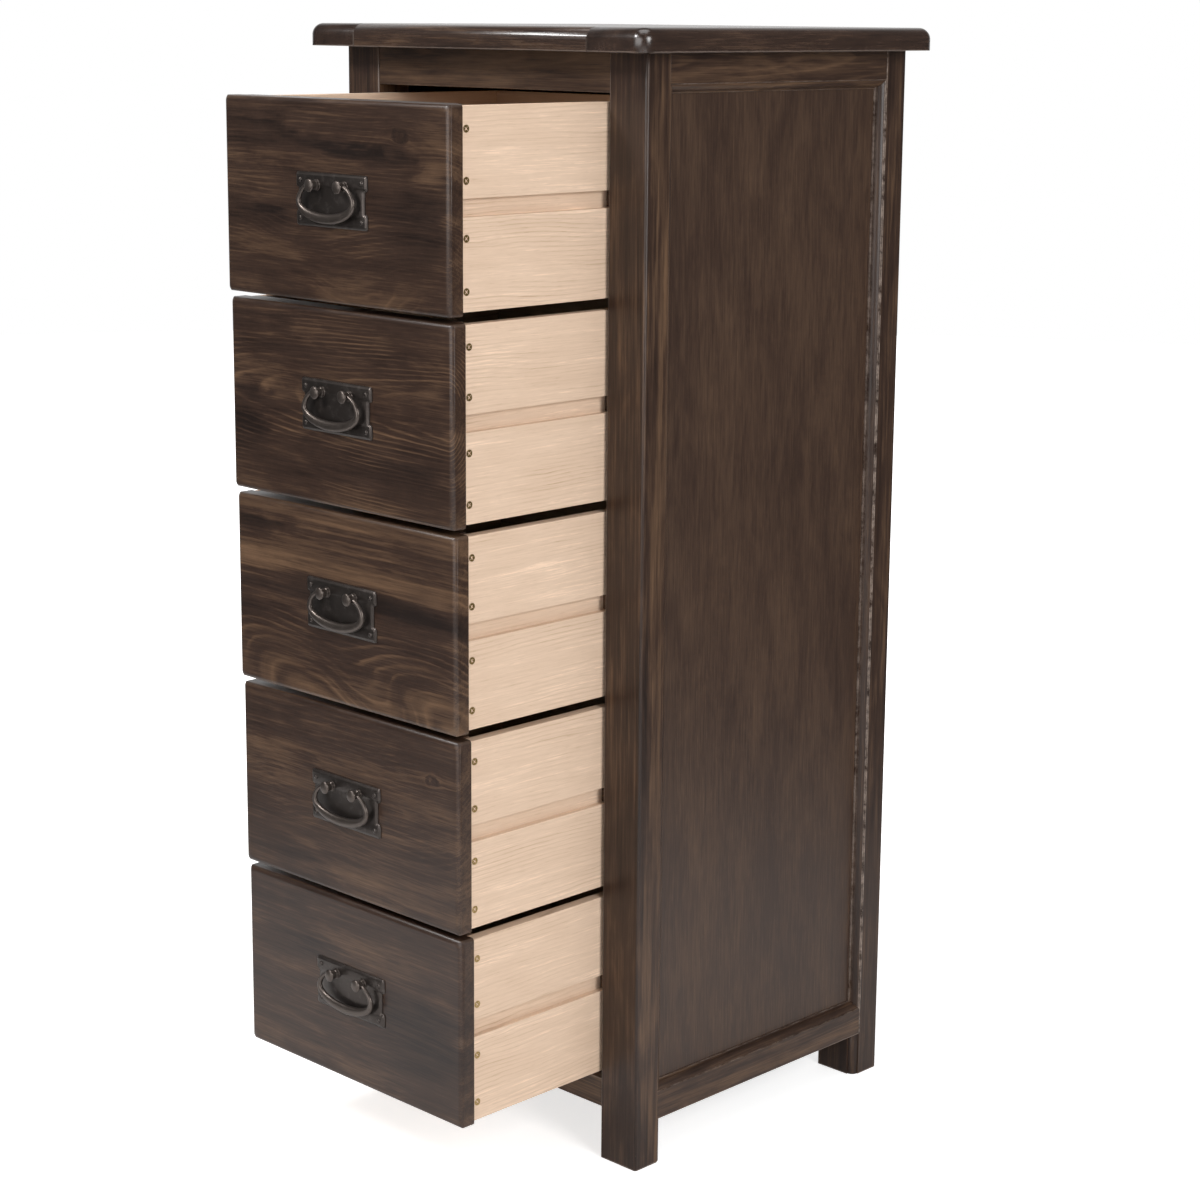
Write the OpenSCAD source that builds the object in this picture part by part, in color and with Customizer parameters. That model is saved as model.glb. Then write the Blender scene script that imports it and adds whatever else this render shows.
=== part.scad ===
// Tallboy: a tall narrow chest of five drawers in stained pine.
// Units are millimetres. X runs to the viewer's right, the front faces -Y and Z is up.
// The origin lies on the floor, under the middle of the chest with its drawers part open.

/* [Carcass] */
// Width over the legs
carcass_w = 436; // [340:2:620]
// Depth over the legs
carcass_d = 392; // [340:2:520]
// Overall height
overall_h = 1150; // [950:10:1400]
// Width of a leg, seen from the front
leg_w = 50; // [40:1:60]
// Width of a leg's flat face, seen from the side
leg_flat = 32; // [26:1:40]
// Radius on the outer arris of a leg
leg_arris_r = 3; // [1:0.5:6]
// Radius on the arris of a leg beside the drawers
leg_inner_r = 1.5; // [0.5:0.5:3]

/* [Frame and panels] */
// Flat width of a side rail
side_rail_flat = 30; // [22:1:50]
// Thickness of a side rail
side_rail_t = 23; // [22:1:30]
// Width of the moulded edge of the side frames
sticking_w = 9; // [7:0.5:12]
// Depth of the moulded edge
sticking_d = 8.5; // [6:0.5:10]
// Width of the moulding's outer fillet
sticking_step = 1.2; // [0.8:0.1:2]
// Thickness of a side panel
panel_t = 7.7; // [6:0.1:9]
// Depth of the groove that holds a panel
panel_groove_d = 7; // [5:0.5:9]
// Drop from the moulding to the face of a panel
panel_drop = 1.5; // [0.5:0.5:2.5]
// Height of the foot below the side rails
foot_h = 47.5; // [30:0.5:70]
// Length of a tenon
tenon_l = 18; // [12:1:20]

/* [Front and back rails] */
// Height of the rail under the top
front_top_rail_h = 39; // [30:1:60]
// Underside of the rail below the drawers
front_low_rail_z = 55; // [40:1:80]
// Height of the rail below the drawers
front_low_rail_h = 31; // [25:1:50]
// Thickness of a front or back rail
front_rail_t = 20; // [16:1:22]
// Setback of the front rails behind the legs
rail_setback = 1.5; // [0.5:0.5:4]
// Thickness of the back panel
back_panel_t = 4; // [3:1:6]
// Width of the rebate that holds the back panel
back_rebate_w = 10; // [6:1:14]

/* [Top] */
// Thickness of the top
top_t = 23; // [18:1:30]
// Overhang of the top at each side
top_side_over = 27; // [10:1:40]
// Overhang of the top at the front
top_front_over = 33; // [10:1:45]
// Overhang of the top at the back
top_back_over = 14; // [0:1:20]
// Radius of the top's corners in plan
top_corner_r = 15; // [13:1:30]
// Radius of the round on the top's upper edge
top_edge_r = 12; // [6:1:12]
// Width of each end board of the top
top_end_w = 76; // [50:1:100]
// Depth of the groove along the joints of the top
top_v_d = 1.2; // [0.5:0.1:2]
// Length of the tongue into each end board
tongue_l = 12; // [6:1:20]
// Thickness of that tongue
tongue_t = 8; // [6:1:9]

/* [Drawers] */
// How far the top drawer stands open
pull_out = 204; // [120:1:240]
// How much less each lower drawer stands open
pull_step = 3; // [0:0.5:6]
// How far a shut drawer's face stands proud of the legs
drawer_proud = 10; // [2:0.5:12]
// Gap between the back of a shut drawer and the back rails
drawer_back_gap = 9; // [4:1:40]
// Gap between a drawer front and each leg
drawer_side_gap = 3; // [1.5:0.5:5]
// Gap between two drawer fronts
drawer_gap = 6; // [3:0.5:8]
// Gap over the top drawer
drawer_top_gap = 7; // [3:0.5:10]
// Gap under the bottom drawer
drawer_low_gap = 3; // [2:0.5:6]
// Thickness of a drawer front at its edge
drawer_lip_t = 17; // [13:0.5:20]
// Thickness of the rebated part behind the edge
drawer_tongue_t = 9; // [8:0.5:12]
// Radius on the edges of a drawer front
front_edge_r = 5; // [2:0.5:8]
// Radius of a drawer front's corners, seen from the front
front_corner_r = 3; // [1:0.5:6]
// Radius of the corners of its flat face
face_corner_r = 8; // [4:0.5:12]
// Thickness of a drawer side or back
side_t = 12; // [11:0.5:15]
// Step from a drawer front's end to the face of its side
side_inset = 1; // [0.5:0.5:2]
// Rise of a drawer side above the bottom of its front
side_low_rise = 4; // [2:0.5:6]
// Drop of a drawer side below the top of its front
side_top_drop = 1.5; // [1:0.5:6]
// Thickness of a drawer bottom
bottom_t = 4; // [3:0.5:6]
// Wood left under a drawer bottom
bottom_rise = 8; // [6:0.5:12]
// Depth of the groove for a drawer bottom
bottom_groove_d = 5; // [3:0.5:5]

/* [Runners] */
// Height of a runner
runner_h = 15.8; // [12:0.1:20]
// Depth of the runner's groove in a drawer side
runner_groove_d = 7; // [5:0.5:7.5]
// Height of a runner's middle above the middle of a drawer
runner_rise = 3; // [0:0.5:6]

/* [Handles] */
// Width of a handle plate over its ears
plate_w = 105; // [90:1:120]
// Height of a handle plate
plate_h = 51.5; // [48:0.5:60]
// Thickness of a handle plate
plate_t = 2.4; // [2:0.1:3]
// Thickness of the plate at its rim
plate_rim_t = 0.9; // [0.6:0.1:1.2]
// Width of the bevel round the plate
plate_bevel = 3.4; // [2:0.1:4]
// Height of an ear at a corner of the plate
ear_h = 15; // [12:0.5:18]
// Length that an ear stands out at the side
ear_out = 4; // [2:0.5:6]
// Distance between the two posts
post_pitch = 41; // [36:0.5:46]
// Height of the posts above the middle of the plate
post_rise = 14; // [11:0.5:15]
// Radius of a post's shank
post_r = 4.6; // [3.2:0.1:4.8]
// Radius of a post's head
head_r = 6.3; // [5.8:0.1:7]
// Distance of the bail's pivot from the drawer's face
pivot_out = 8.6; // [8:0.1:10]
// Radius of the bail's pivot pins
pin_r = 1.5; // [1.2:0.1:1.8]
// Width of the bail over its outer edges
bail_w = 85.5; // [78:0.5:92]
// Drop of the bail from its pivot to its lower edge
bail_drop = 36; // [32:0.5:40]
// Half the bail's thickness in the middle, seen from the front
bail_mid_r = 5; // [3:0.1:5.4]
// Half the bail's thickness at its ends
bail_end_r = 1.9; // [1.7:0.1:2.4]
// Half the bail's thickness in the middle, seen from the side
bail_deep_r = 3.1; // [2:0.1:3.6]

/* [Fixings] */
// Radius of a wood screw's head
screw_head_r = 3.6; // [3:0.1:4.5]
// Radius of a wood screw's shank
screw_r = 1.9; // [1.5:0.1:2]
// Length of a wood screw
screw_l = 30; // [22:1:32]
// Radius of a handle tack's head
tack_r = 2.5; // [2:0.1:3]
// Radius of the stud that bolts a post through the drawer front
stud_r = 2; // [1.6:0.1:2.4]

/* [Hidden] */
$fn = 64;

// Number of drawers
drawers = 5;
// Length that a cut runs past the wood it cuts
overrun = 1;
// Clearance at the end of a tenon, tongue or panel
end_gap = 0.5;
// Running clearance between a runner and the groove above it
slide_gap = 0.3;
// Play under a runner, and beside it in its groove
slide_play = 0.8;
// Radial clearance of a bail's pin in its post
pin_gap = 0.05;
// Clearance across the thickness of a board in its groove
groove_gap = 0.3;
// Clearance between a bail's end and its post
bail_side_gap = 0.4;
// Height of a wood screw's head above the wood of a drawer side
screw_proud = 0.4;
// Depth of the cross slot in a screw's head
slot_d = 1;

// Shares of the piece that each is measured on
tenon_shoulder_share = 1 / 6;
cross_tenon_share = 0.4;
screw_place_share = 0.55;
screw_height_shares = [0.10, 0.36, 0.64, 0.89];
cleat_screw_shares = [-1 / 3, 0, 1 / 3];
head_edge_share = 0.25;
head_dome_share = 1 / 6;
tack_dome_share = 0.6;
washer_share = 2.4;
nut_share = 2;
nut_height_share = 1.6;
bail_side_share = 0.35;
bail_centre_share = 0.43;
bail_knuckle_share = 1.05;
slot_length_share = 1.3;
face_corner_share = 0.95;

// Colours
stain = [0.20, 0.13, 0.10];
stain_panel = [0.24, 0.17, 0.13];
pale_pine = [0.87, 0.73, 0.58];
bronze = [0.16, 0.14, 0.13];
brass = [0.62, 0.52, 0.28];

// Carcass sizes worked out from the values above
leg_d = leg_flat + sticking_w;
leg_h = overall_h - top_t;
opening_w = carcass_w - 2 * leg_w;
sticking_r = sticking_d - sticking_step;
panel_face = sticking_d + panel_drop;
panel_slot = panel_t + groove_gap;
side_rail_h = side_rail_flat + sticking_w;
tenon_t = panel_slot;
tenon_shoulder = side_rail_flat * tenon_shoulder_share;
top_w = carcass_w + 2 * top_side_over;
top_d = carcass_d + top_front_over + top_back_over;
top_joint_x = top_w / 2 - top_end_w;
top_v_side = norm([top_v_d, top_v_d]);
tongue_z = (top_t - tongue_t) / 2;
rail_arris_r = rail_setback;
cross_tenon_t = front_rail_t * cross_tenon_share;
back_rail_y = carcass_d - back_panel_t - front_rail_t;
cleat_s = front_rail_t;
cleat_l = opening_w - cleat_s;
front_cleat_y = rail_setback + front_rail_t;
back_cleat_y = back_rail_y - cleat_s;

// Drawer sizes
bay_low = front_low_rail_z + front_low_rail_h;
bay_high = leg_h - front_top_rail_h;
drawer_h = (bay_high - bay_low - drawer_top_gap - drawer_low_gap - (drawers - 1) * drawer_gap) / drawers;
drawer_w = opening_w - 2 * drawer_side_gap;
drawer_l = back_rail_y + drawer_proud - drawer_back_gap;
front_t = drawer_lip_t + drawer_tongue_t;
face_corner_in = front_edge_r + face_corner_r * face_corner_share;
face_corner_run = norm([face_corner_in, face_corner_in]) - face_corner_r;
face_corner_arc = dome_sphere_r(face_corner_run, front_edge_r);
box_w = drawer_w - 2 * side_inset;
inner_w = box_w - 2 * side_t;
side_z = side_low_rise;
side_h = drawer_h - side_low_rise - side_top_drop;
floor_z = side_z + bottom_rise;
bottom_slot = bottom_t + groove_gap;
screw_y = drawer_lip_t + drawer_tongue_t * screw_place_share;
screw_head_h = screw_head_r - screw_r;

// Runner sizes
runner_z = drawer_h / 2 + runner_rise;
runner_t = drawer_side_gap + side_inset + runner_groove_d - slide_play;
runner_y = drawer_lip_t - drawer_proud + slide_gap;
runner_l = back_rail_y - runner_y - slide_play;
runner_slot_z = runner_z - runner_h / 2 - slide_play;
runner_slot_h = runner_h + slide_play + slide_gap;

// Handle sizes
plate_edge_w = plate_w - 2 * ear_out;
waist_h = plate_h - 2 * ear_h;
plate_mid_z = (drawer_h + runner_rise) / 2;
head_t = head_r * head_edge_share;
head_dome = head_r * head_dome_share;
head_back = pivot_out + bail_end_r + 2 * bail_side_gap;
head_front = head_back + head_t + head_dome;
collar_r = (post_r + head_r) / 2;
collar_t = plate_rim_t;
tack_x = (plate_w - ear_h) / 2;
tack_y = (plate_h - ear_h) / 2;
tack_dome = tack_r * tack_dome_share;
tack_l = front_t / 2;
washer_r = stud_r * washer_share;
washer_t = plate_rim_t;
nut_r = stud_r * nut_share;
nut_t = stud_r * nut_height_share;
stud_l = front_t + washer_t + nut_t + stud_r;

// Bail sizes: an open oval that hangs from its two upper ends
bail_end_x = post_pitch / 2 + post_r + bail_side_gap + bail_end_r;
bail_end_deep_r = bail_end_r;
bail_side_r = bail_end_r + (bail_mid_r - bail_end_r) * bail_side_share;
bail_a = bail_w / 2 - bail_side_r;
bail_end_angle = acos(bail_end_x / bail_a);
bail_centre_drop = bail_drop * bail_centre_share;
bail_b_high = bail_centre_drop / sin(bail_end_angle);
bail_b_low = bail_drop - bail_centre_drop - bail_mid_r;
bail_rings = 36;
bail_sides = 12;

// Place of the origin
front_reach = pull_out + max(head_front, pivot_out + bail_deep_r);
carcass_y = (front_reach - carcass_d - top_back_over) / 2;

function drawer_z(i) = bay_low + drawer_low_gap + (drawers - i) * (drawer_h + drawer_gap);
function drawer_pull(i) = pull_out - (i - 1) * pull_step;
function dome_sphere_r(r, h) = (r * r + h * h) / (2 * h);

// Block centred in X, with its low front edge at the origin
module block(size) {
    translate([-size[0] / 2, 0, 0]) cube(size);
}

// Everything is drawn from the middle of the carcass's front face, on the floor
module in_place() {
    translate([0, carcass_y, 0]) children();
}

module both_sides() {
    children();
    mirror([1, 0, 0]) children();
}

// Wood taken off the edge of a frame member, from its flat at 0 towards the panel
module sticking_cut() {
    difference() {
        translate([0, -overrun]) square([sticking_w + overrun, sticking_d + overrun]);
        translate([0, sticking_d]) circle(sticking_r);
    }
}

// Solid under a 2D shape in the YZ plane, from x to x + t
module side_plate(x, t) {
    translate([x, 0, 0]) rotate([90, 0, 90]) linear_extrude(t) children();
}

// Solid along Y from a 2D shape in the XZ plane
module along_y(y, l) {
    translate([0, y + l, 0]) rotate([90, 0, 0]) linear_extrude(l) children();
}

// Solid along X, centred, from a 2D shape in the YZ plane
module along_x(l) {
    translate([-l / 2, 0, 0]) rotate([90, 0, 90]) linear_extrude(l) children();
}

// Rail seen from the side: square below, with its moulded edge mitred at both ends
module side_rail_outline() {
    low = leg_flat;
    high = carcass_d - leg_flat;
    polygon([[low, 0], [high, 0], [high, side_rail_flat],
        [high - sticking_w, side_rail_h], [low + sticking_w, side_rail_h], [low, side_rail_flat]]);
}

module side_rail_section() {
    difference() {
        translate([-side_rail_t, 0]) square([side_rail_t, side_rail_h]);
        translate([0, side_rail_flat]) rotate(90) sticking_cut();
        translate([-panel_face - panel_slot, side_rail_h - panel_groove_d])
            square([panel_slot, panel_groove_d + overrun]);
    }
}

// Bar through a side rail that makes the tenons at its ends, or with play their mortises
module side_tenons(play) {
    l = tenon_l + play;
    translate([carcass_w / 2 - panel_face - tenon_t, leg_flat - l, tenon_shoulder])
        cube([tenon_t, carcass_d - 2 * leg_flat + 2 * l, side_rail_flat - 2 * tenon_shoulder]);
}

// Right-hand lower side rail, standing on Z = 0
module side_rail_blank() {
    side_plate(carcass_w / 2 - side_rail_t, side_rail_t) side_rail_outline();
}

module side_rail_body() {
    intersection() {
        side_rail_blank();
        translate([carcass_w / 2, 0, 0]) along_y(0, carcass_d) side_rail_section();
    }
    side_tenons(0);
}

module at_low_rail() {
    translate([0, 0, foot_h]) children();
}

module at_top_rail() {
    translate([0, 0, leg_h]) mirror([0, 0, 1]) children();
}

// Cross rails between the legs, with their tenons
module cross_rail(y, z, h) {
    translate([0, y, z]) {
        difference() {
            block([opening_w, front_rail_t, h]);
            translate([-opening_w / 2 - overrun, 0, 0]) cross_rail_arris();
        }
        cross_tenons(h, 0);
    }
}

// Small round along the lower front edge of a cross rail
module cross_rail_arris() {
    rotate([90, 0, 90]) linear_extrude(opening_w + 2 * overrun) difference() {
        translate([-overrun, -overrun]) square([rail_arris_r + overrun, rail_arris_r + overrun]);
        translate([rail_arris_r, rail_arris_r]) circle(rail_arris_r);
    }
}

// Bar through a cross rail of height h that makes its two tenons, or with play their mortises
module cross_tenons(h, play) {
    shoulder = h * tenon_shoulder_share;
    translate([0, (front_rail_t - cross_tenon_t) / 2, shoulder])
        block([opening_w + 2 * (tenon_l + play), cross_tenon_t, h - 2 * shoulder]);
}

// Section of a leg from its inner corner at 0, with the outer face at leg_w
module leg_section() {
    difference() {
        square([leg_w, leg_d]);
        translate([leg_w, leg_flat]) rotate(90) sticking_cut();
        translate([leg_w, 0]) rotate(90) arris_cut(leg_arris_r);
        arris_cut(leg_inner_r);
    }
}

// Corner cut that leaves a round of radius r, for a corner at the origin
module arris_cut(r) {
    difference() {
        translate([-overrun, -overrun]) square(r + overrun);
        translate([r, r]) circle(r);
    }
}

// Right-hand leg at the front, before it is cut for the rails of the front or back
module leg_body() {
    difference() {
        translate([opening_w / 2, 0, 0]) linear_extrude(leg_h) leg_section();
        at_low_rail() leg_rail_cuts();
        at_top_rail() leg_rail_cuts();
        translate([carcass_w / 2 - panel_face - panel_slot, leg_d - panel_groove_d, foot_h + side_rail_flat])
            cube([panel_slot, panel_groove_d + overrun, leg_h - foot_h - 2 * side_rail_flat]);
    }
}

module leg_rail_cuts() {
    side_plate(carcass_w / 2 - side_rail_t, side_rail_t + overrun) side_rail_outline();
    side_tenons(end_gap);
}

module leg_front() {
    difference() {
        leg_body();
        translate([0, rail_setback, front_low_rail_z]) cross_tenons(front_low_rail_h, end_gap);
        translate([0, rail_setback, bay_high]) cross_tenons(front_top_rail_h, end_gap);
    }
}

module leg_back() {
    difference() {
        translate([0, carcass_d, 0]) mirror([0, 1, 0]) leg_body();
        translate([0, back_rail_y, foot_h]) cross_tenons(side_rail_h, end_gap);
        translate([0, back_rail_y, bay_high]) cross_tenons(front_top_rail_h, end_gap);
        translate([opening_w / 2 - overrun, carcass_d - back_panel_t, -overrun])
            cube([back_rebate_w + overrun, back_panel_t + overrun, leg_h + 2 * overrun]);
    }
}

module side_panel() {
    w = carcass_d - 2 * leg_d + 2 * (panel_groove_d - end_gap);
    h = leg_h - foot_h - 2 * side_rail_h + 2 * panel_groove_d - end_gap;
    translate([carcass_w / 2 - panel_face - panel_t, (carcass_d - w) / 2,
        foot_h + side_rail_h - panel_groove_d])
        cube([panel_t, w, h]);
}

module back_panel_body() {
    w = opening_w + 2 * (back_rebate_w - end_gap);
    translate([0, carcass_d - back_panel_t, foot_h]) block([w, back_panel_t, leg_h - foot_h]);
}

// Whole top: a slab with rounded corners and a round along its upper edge
module top_edge_section(w) {
    intersection() {
        square([w, top_t]);
        union() {
            square([w, top_t - top_edge_r]);
            square([w - top_edge_r, top_t]);
            translate([w - top_edge_r, top_t - top_edge_r]) circle(top_edge_r);
        }
    }
}

module top_slab() {
    in_x = top_w / 2 - top_corner_r;
    in_y = top_d / 2 - top_corner_r;
    for (sx = [-1, 1], sy = [-1, 1])
        translate([sx * in_x, sy * in_y, 0]) rotate_extrude() top_edge_section(top_corner_r);
    rotate([90, 0, 90]) translate([0, 0, -in_x]) linear_extrude(2 * in_x) both_halves(top_d / 2);
    rotate([90, 0, 0]) translate([0, 0, -in_y]) linear_extrude(2 * in_y) both_halves(top_w / 2);
}

module both_halves(w) {
    top_edge_section(w);
    mirror([1, 0]) top_edge_section(w);
}

module top_at_carcass() {
    translate([0, (carcass_d + top_back_over - top_front_over) / 2, leg_h]) children();
}

// Groove cut along the joint of an end board, on the top's upper face and its front and back edges
module top_joint_groove() {
    translate([top_joint_x, 0, top_t]) rotate([0, 45, 0])
        cube([top_v_side, top_d + 2 * overrun, top_v_side], center = true);
    both_ends() translate([top_joint_x, top_d / 2, top_t / 2]) rotate([0, 0, 45])
        cube([top_v_d, top_v_d, top_t + 2 * overrun], center = true);
}

module both_ends() {
    children();
    mirror([0, 1, 0]) children();
}

module tongue(play) {
    l = 2 * (top_joint_x + tongue_l + play);
    d = top_d - 2 * top_corner_r;
    translate([-l / 2, -d / 2 - play, tongue_z]) cube([l, d + 2 * play, tongue_t]);
}

module top_field() {
    difference() {
        intersection() {
            top_slab();
            cube([2 * top_joint_x, top_d, 2 * top_t], center = true);
        }
        both_sides() top_joint_groove();
    }
    tongue(0);
}

module top_end() {
    difference() {
        intersection() {
            top_slab();
            translate([top_joint_x, -top_d / 2, 0]) cube([top_end_w, top_d, top_t]);
        }
        top_joint_groove();
        tongue(end_gap);
    }
}

// Battens behind the front and back rails that hold the top down
module top_cleat(y) {
    translate([0, y, leg_h - cleat_s]) block([cleat_l, cleat_s, cleat_s]);
}

module runner() {
    translate([opening_w / 2 - runner_t, runner_y, -runner_h / 2]) cube([runner_t, runner_l, runner_h]);
}

// Wood screw along +Z from the face it is driven into, with its head at Z = 0
module wood_screw(l) {
    cylinder(h = screw_head_h, r1 = screw_head_r, r2 = screw_r);
    cylinder(h = l - screw_r, r = screw_r);
    translate([0, 0, l - screw_r]) cylinder(h = screw_r, r1 = screw_r, r2 = 0);
}

// Screws through a runner into the front and back legs
module runner_screws() {
    for (y = [leg_d / 2, (runner_y + runner_l + carcass_d - leg_d) / 2])
        translate([opening_w / 2 - runner_t, y, 0]) rotate([0, 90, 0]) wood_screw(screw_l);
}

// Screws up through a cleat into the top
module cleat_screws(y) {
    for (share = cleat_screw_shares)
        translate([share * cleat_l, y + cleat_s / 2, leg_h - cleat_s]) wood_screw(screw_l);
}

// Drawer pieces, drawn from the drawer's face and the bottom of its front
module drawer_place(i) {
    in_place() translate([0, -drawer_pull(i), drawer_z(i)]) children();
}

// Front board: its front arrises and corners are rounded, and its ends are rebated for the sides
module drawer_front_body() {
    difference() {
        union() {
            intersection() {
                along_x(drawer_w) rounded_face(drawer_h);
                linear_extrude(drawer_h) rotate(90) mirror([0, 1]) translate([0, -drawer_w / 2])
                    rounded_face(drawer_w);
                along_y(-overrun, drawer_lip_t + 2 * overrun) rounded_outline(drawer_w, drawer_h);
            }
            translate([0, front_edge_r, 0]) block([inner_w, front_t - front_edge_r, drawer_h]);
        }
        both_sides() both_heights(drawer_h) face_corner_cut();
        drawer_floor(groove_gap, 0);
        both_sides() translate([post_pitch / 2, 0, plate_mid_z + post_rise]) rotate([-90, 0, 0])
            translate([0, 0, -overrun]) cylinder(h = front_t + 2 * overrun, r = stud_r + pin_gap);
    }
}

module both_heights(h) {
    children();
    translate([0, 0, h]) mirror([0, 0, 1]) children();
}

// Wood taken off the low left corner, so that the flat face ends there in an arc
module face_corner_cut() {
    block_w = face_corner_in + overrun;
    translate([-drawer_w / 2, 0, 0]) mirror([0, 1, 0]) rotate([90, 0, 0]) difference() {
        translate([-overrun, -overrun, -overrun]) cube([block_w, block_w, face_corner_arc + overrun]);
        translate([face_corner_in, face_corner_in, 0]) rotate_extrude() face_corner_section();
    }
}

module face_corner_section() {
    intersection() {
        square([face_corner_r + face_corner_arc, face_corner_arc + overrun]);
        union() {
            square([face_corner_r, face_corner_arc + overrun]);
            translate([face_corner_r, face_corner_arc]) circle(face_corner_arc);
        }
    }
}

// Outline of a drawer front, with its low edge at 0
module rounded_outline(w, h) {
    difference() {
        translate([-w / 2, 0]) square([w, h]);
        both_sides() {
            translate([-w / 2, 0]) arris_cut(front_corner_r);
            translate([-w / 2, h]) mirror([0, 1]) arris_cut(front_corner_r);
        }
    }
}

// Section of a board of height h whose front edges, at 0, are rounded
module rounded_face(h) {
    difference() {
        square([drawer_lip_t, h]);
        arris_cut(front_edge_r);
        translate([0, h]) mirror([0, 1]) arris_cut(front_edge_r);
    }
}

// Side board on the right, with grooves for the runner and for the bottom
module drawer_side() {
    difference() {
        translate([inner_w / 2, drawer_lip_t, side_z]) cube([side_t, drawer_l - drawer_lip_t, side_h]);
        translate([box_w / 2 - runner_groove_d, drawer_lip_t - overrun, runner_slot_z])
            cube([runner_groove_d + overrun, drawer_l, runner_slot_h]);
        drawer_floor(groove_gap, overrun);
    }
}

// Thin bottom board, or with play its grooves
module drawer_floor(play, past) {
    w = inner_w + 2 * bottom_groove_d - (play > 0 ? 0 : 2 * end_gap);
    y = front_t - bottom_groove_d + (play > 0 ? 0 : end_gap);
    translate([0, y, floor_z]) block([w, drawer_l - y + past, bottom_t + play]);
}

module drawer_back_body() {
    z = floor_z + bottom_slot;
    h = side_z + side_h - z + groove_gap;
    translate([0, drawer_l - side_t, z - groove_gap]) block([inner_w, side_t, h]);
}

// Eight screws through the sides into the rebated ends of the front
module drawer_screws() {
    both_sides() for (share = screw_height_shares)
        translate([box_w / 2 + screw_proud, screw_y, side_z + share * side_h])
            rotate([0, -90, 0]) drawer_screw();
}

module drawer_screw() {
    difference() {
        wood_screw(screw_l);
        for (turn = [0, 90]) rotate(turn + 45)
            cube([screw_head_r * slot_length_share, screw_r / 2, 2 * slot_d], center = true);
    }
}

// Handle pieces, drawn from the middle of the plate on the drawer's face, with the outside at +Z
module handle_place(i) {
    drawer_place(i) translate([0, 0, plate_mid_z]) rotate([90, 0, 0]) children();
}

// Bar of the plate with a bevel at its rim; the bevel of the long sides is left off where flush
module bevelled_bar(w, h, flush) {
    field_h = flush ? h : h - 2 * plate_bevel;
    hull() {
        translate([-w / 2, -h / 2, 0]) cube([w, h, plate_rim_t]);
        translate([plate_bevel - w / 2, -field_h / 2, 0]) cube([w - 2 * plate_bevel, field_h, plate_t]);
    }
}

module handle_plate_body() {
    difference() {
        union() {
            for (side = [-1, 1])
                translate([0, side * (plate_h - ear_h) / 2, 0]) bevelled_bar(plate_w, ear_h, false);
            bevelled_bar(plate_edge_w, waist_h + 4 * plate_bevel, true);
            for (sx = [-1, 1], sy = [-1, 1])
                translate([sx * tack_x, sy * tack_y, 0]) tack();
        }
        both_sides() translate([post_pitch / 2, post_rise, -overrun])
            cylinder(h = plate_t + 2 * overrun, r = stud_r + pin_gap);
    }
}

// Dome-headed tack driven through the plate
module tack() {
    dome_cap(tack_r, tack_dome, plate_t);
    translate([0, 0, -tack_l]) cylinder(h = tack_l + plate_t, r = tack_r / 2);
}

// Low dome of radius r and height h, standing on Z = z
module dome_cap(r, h, z) {
    big = dome_sphere_r(r, h);
    rotate_extrude() intersection() {
        translate([0, z + h - big]) circle(big);
        translate([0, z - plate_rim_t]) square([r, h + plate_rim_t]);
    }
}

// Turned post with a domed head, bored across for the bail and bolted through the drawer front
module handle_post() {
    difference() {
        union() {
            translate([0, 0, plate_t]) cylinder(h = collar_t, r = collar_r);
            translate([0, 0, plate_t]) cylinder(h = head_back - plate_t + head_t / 2, r = post_r);
            translate([0, 0, head_back]) cylinder(h = head_t, r = head_r);
            dome_cap(head_r, head_dome, head_back + head_t);
            translate([0, 0, -stud_l]) cylinder(h = stud_l + plate_t + collar_t, r = stud_r);
        }
        translate([-post_r - overrun, 0, pivot_out]) rotate([0, 90, 0])
            cylinder(h = 2 * (post_r + overrun), r = pin_r + pin_gap);
    }
    translate([0, 0, -front_t - washer_t]) cylinder(h = washer_t, r = washer_r);
    translate([0, 0, -front_t - washer_t - nut_t]) cylinder(h = nut_t, r = nut_r, $fn = 6);
}

// Bail: point on its middle line, its half thickness and its outward direction at an angle
function bail_b(a) = sin(a) > 0 ? bail_b_high : bail_b_low;
function bail_point(a) = [bail_a * cos(a), bail_b(a) * sin(a) - bail_centre_drop];
function bail_swell(a) = pow((1 - sin(a)) / 2, 1.5);
function bail_half(a) = bail_end_r + (bail_mid_r - bail_end_r) * bail_swell(a);
function bail_deep(a) = bail_end_deep_r + (bail_deep_r - bail_end_deep_r) * bail_swell(a);
function bail_out(a) = let (v = [bail_b(a) * cos(a), bail_a * sin(a)]) v / norm(v);
function bail_ring(a) = [for (k = [0:bail_sides - 1])
    let (turn = 360 * k / bail_sides, p = bail_point(a) + bail_out(a) * bail_half(a) * cos(turn))
    [p[0], p[1], bail_deep(a) * sin(turn)]];
function bail_angle(j) = bail_end_angle - j * (180 + 2 * bail_end_angle) / bail_rings;
function bail_quad(j, k) = let (next = (k + 1) % bail_sides, a = j * bail_sides, b = a + bail_sides)
    [[a + k, b + k, b + next], [a + k, b + next, a + next]];

module bail_bow() {
    points = [for (j = [0:bail_rings]) each bail_ring(bail_angle(j))];
    sides = [for (j = [0:bail_rings - 1], k = [0:bail_sides - 1]) each bail_quad(j, k)];
    start = [[for (k = [0:bail_sides - 1]) k]];
    end = [[for (k = [bail_sides - 1:-1:0]) bail_rings * bail_sides + k]];
    polyhedron(points, concat(sides, start, end));
}

module bail_body() {
    translate([0, post_rise, pivot_out]) {
        bail_bow();
        both_sides() {
            translate([bail_end_x, 0, 0]) sphere(bail_end_r * bail_knuckle_share);
            translate([post_pitch / 2 - post_r + bail_side_gap, 0, 0]) rotate([0, 90, 0])
                cylinder(h = bail_end_x - post_pitch / 2 + post_r - bail_side_gap, r = pin_r);
        }
    }
}

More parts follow.
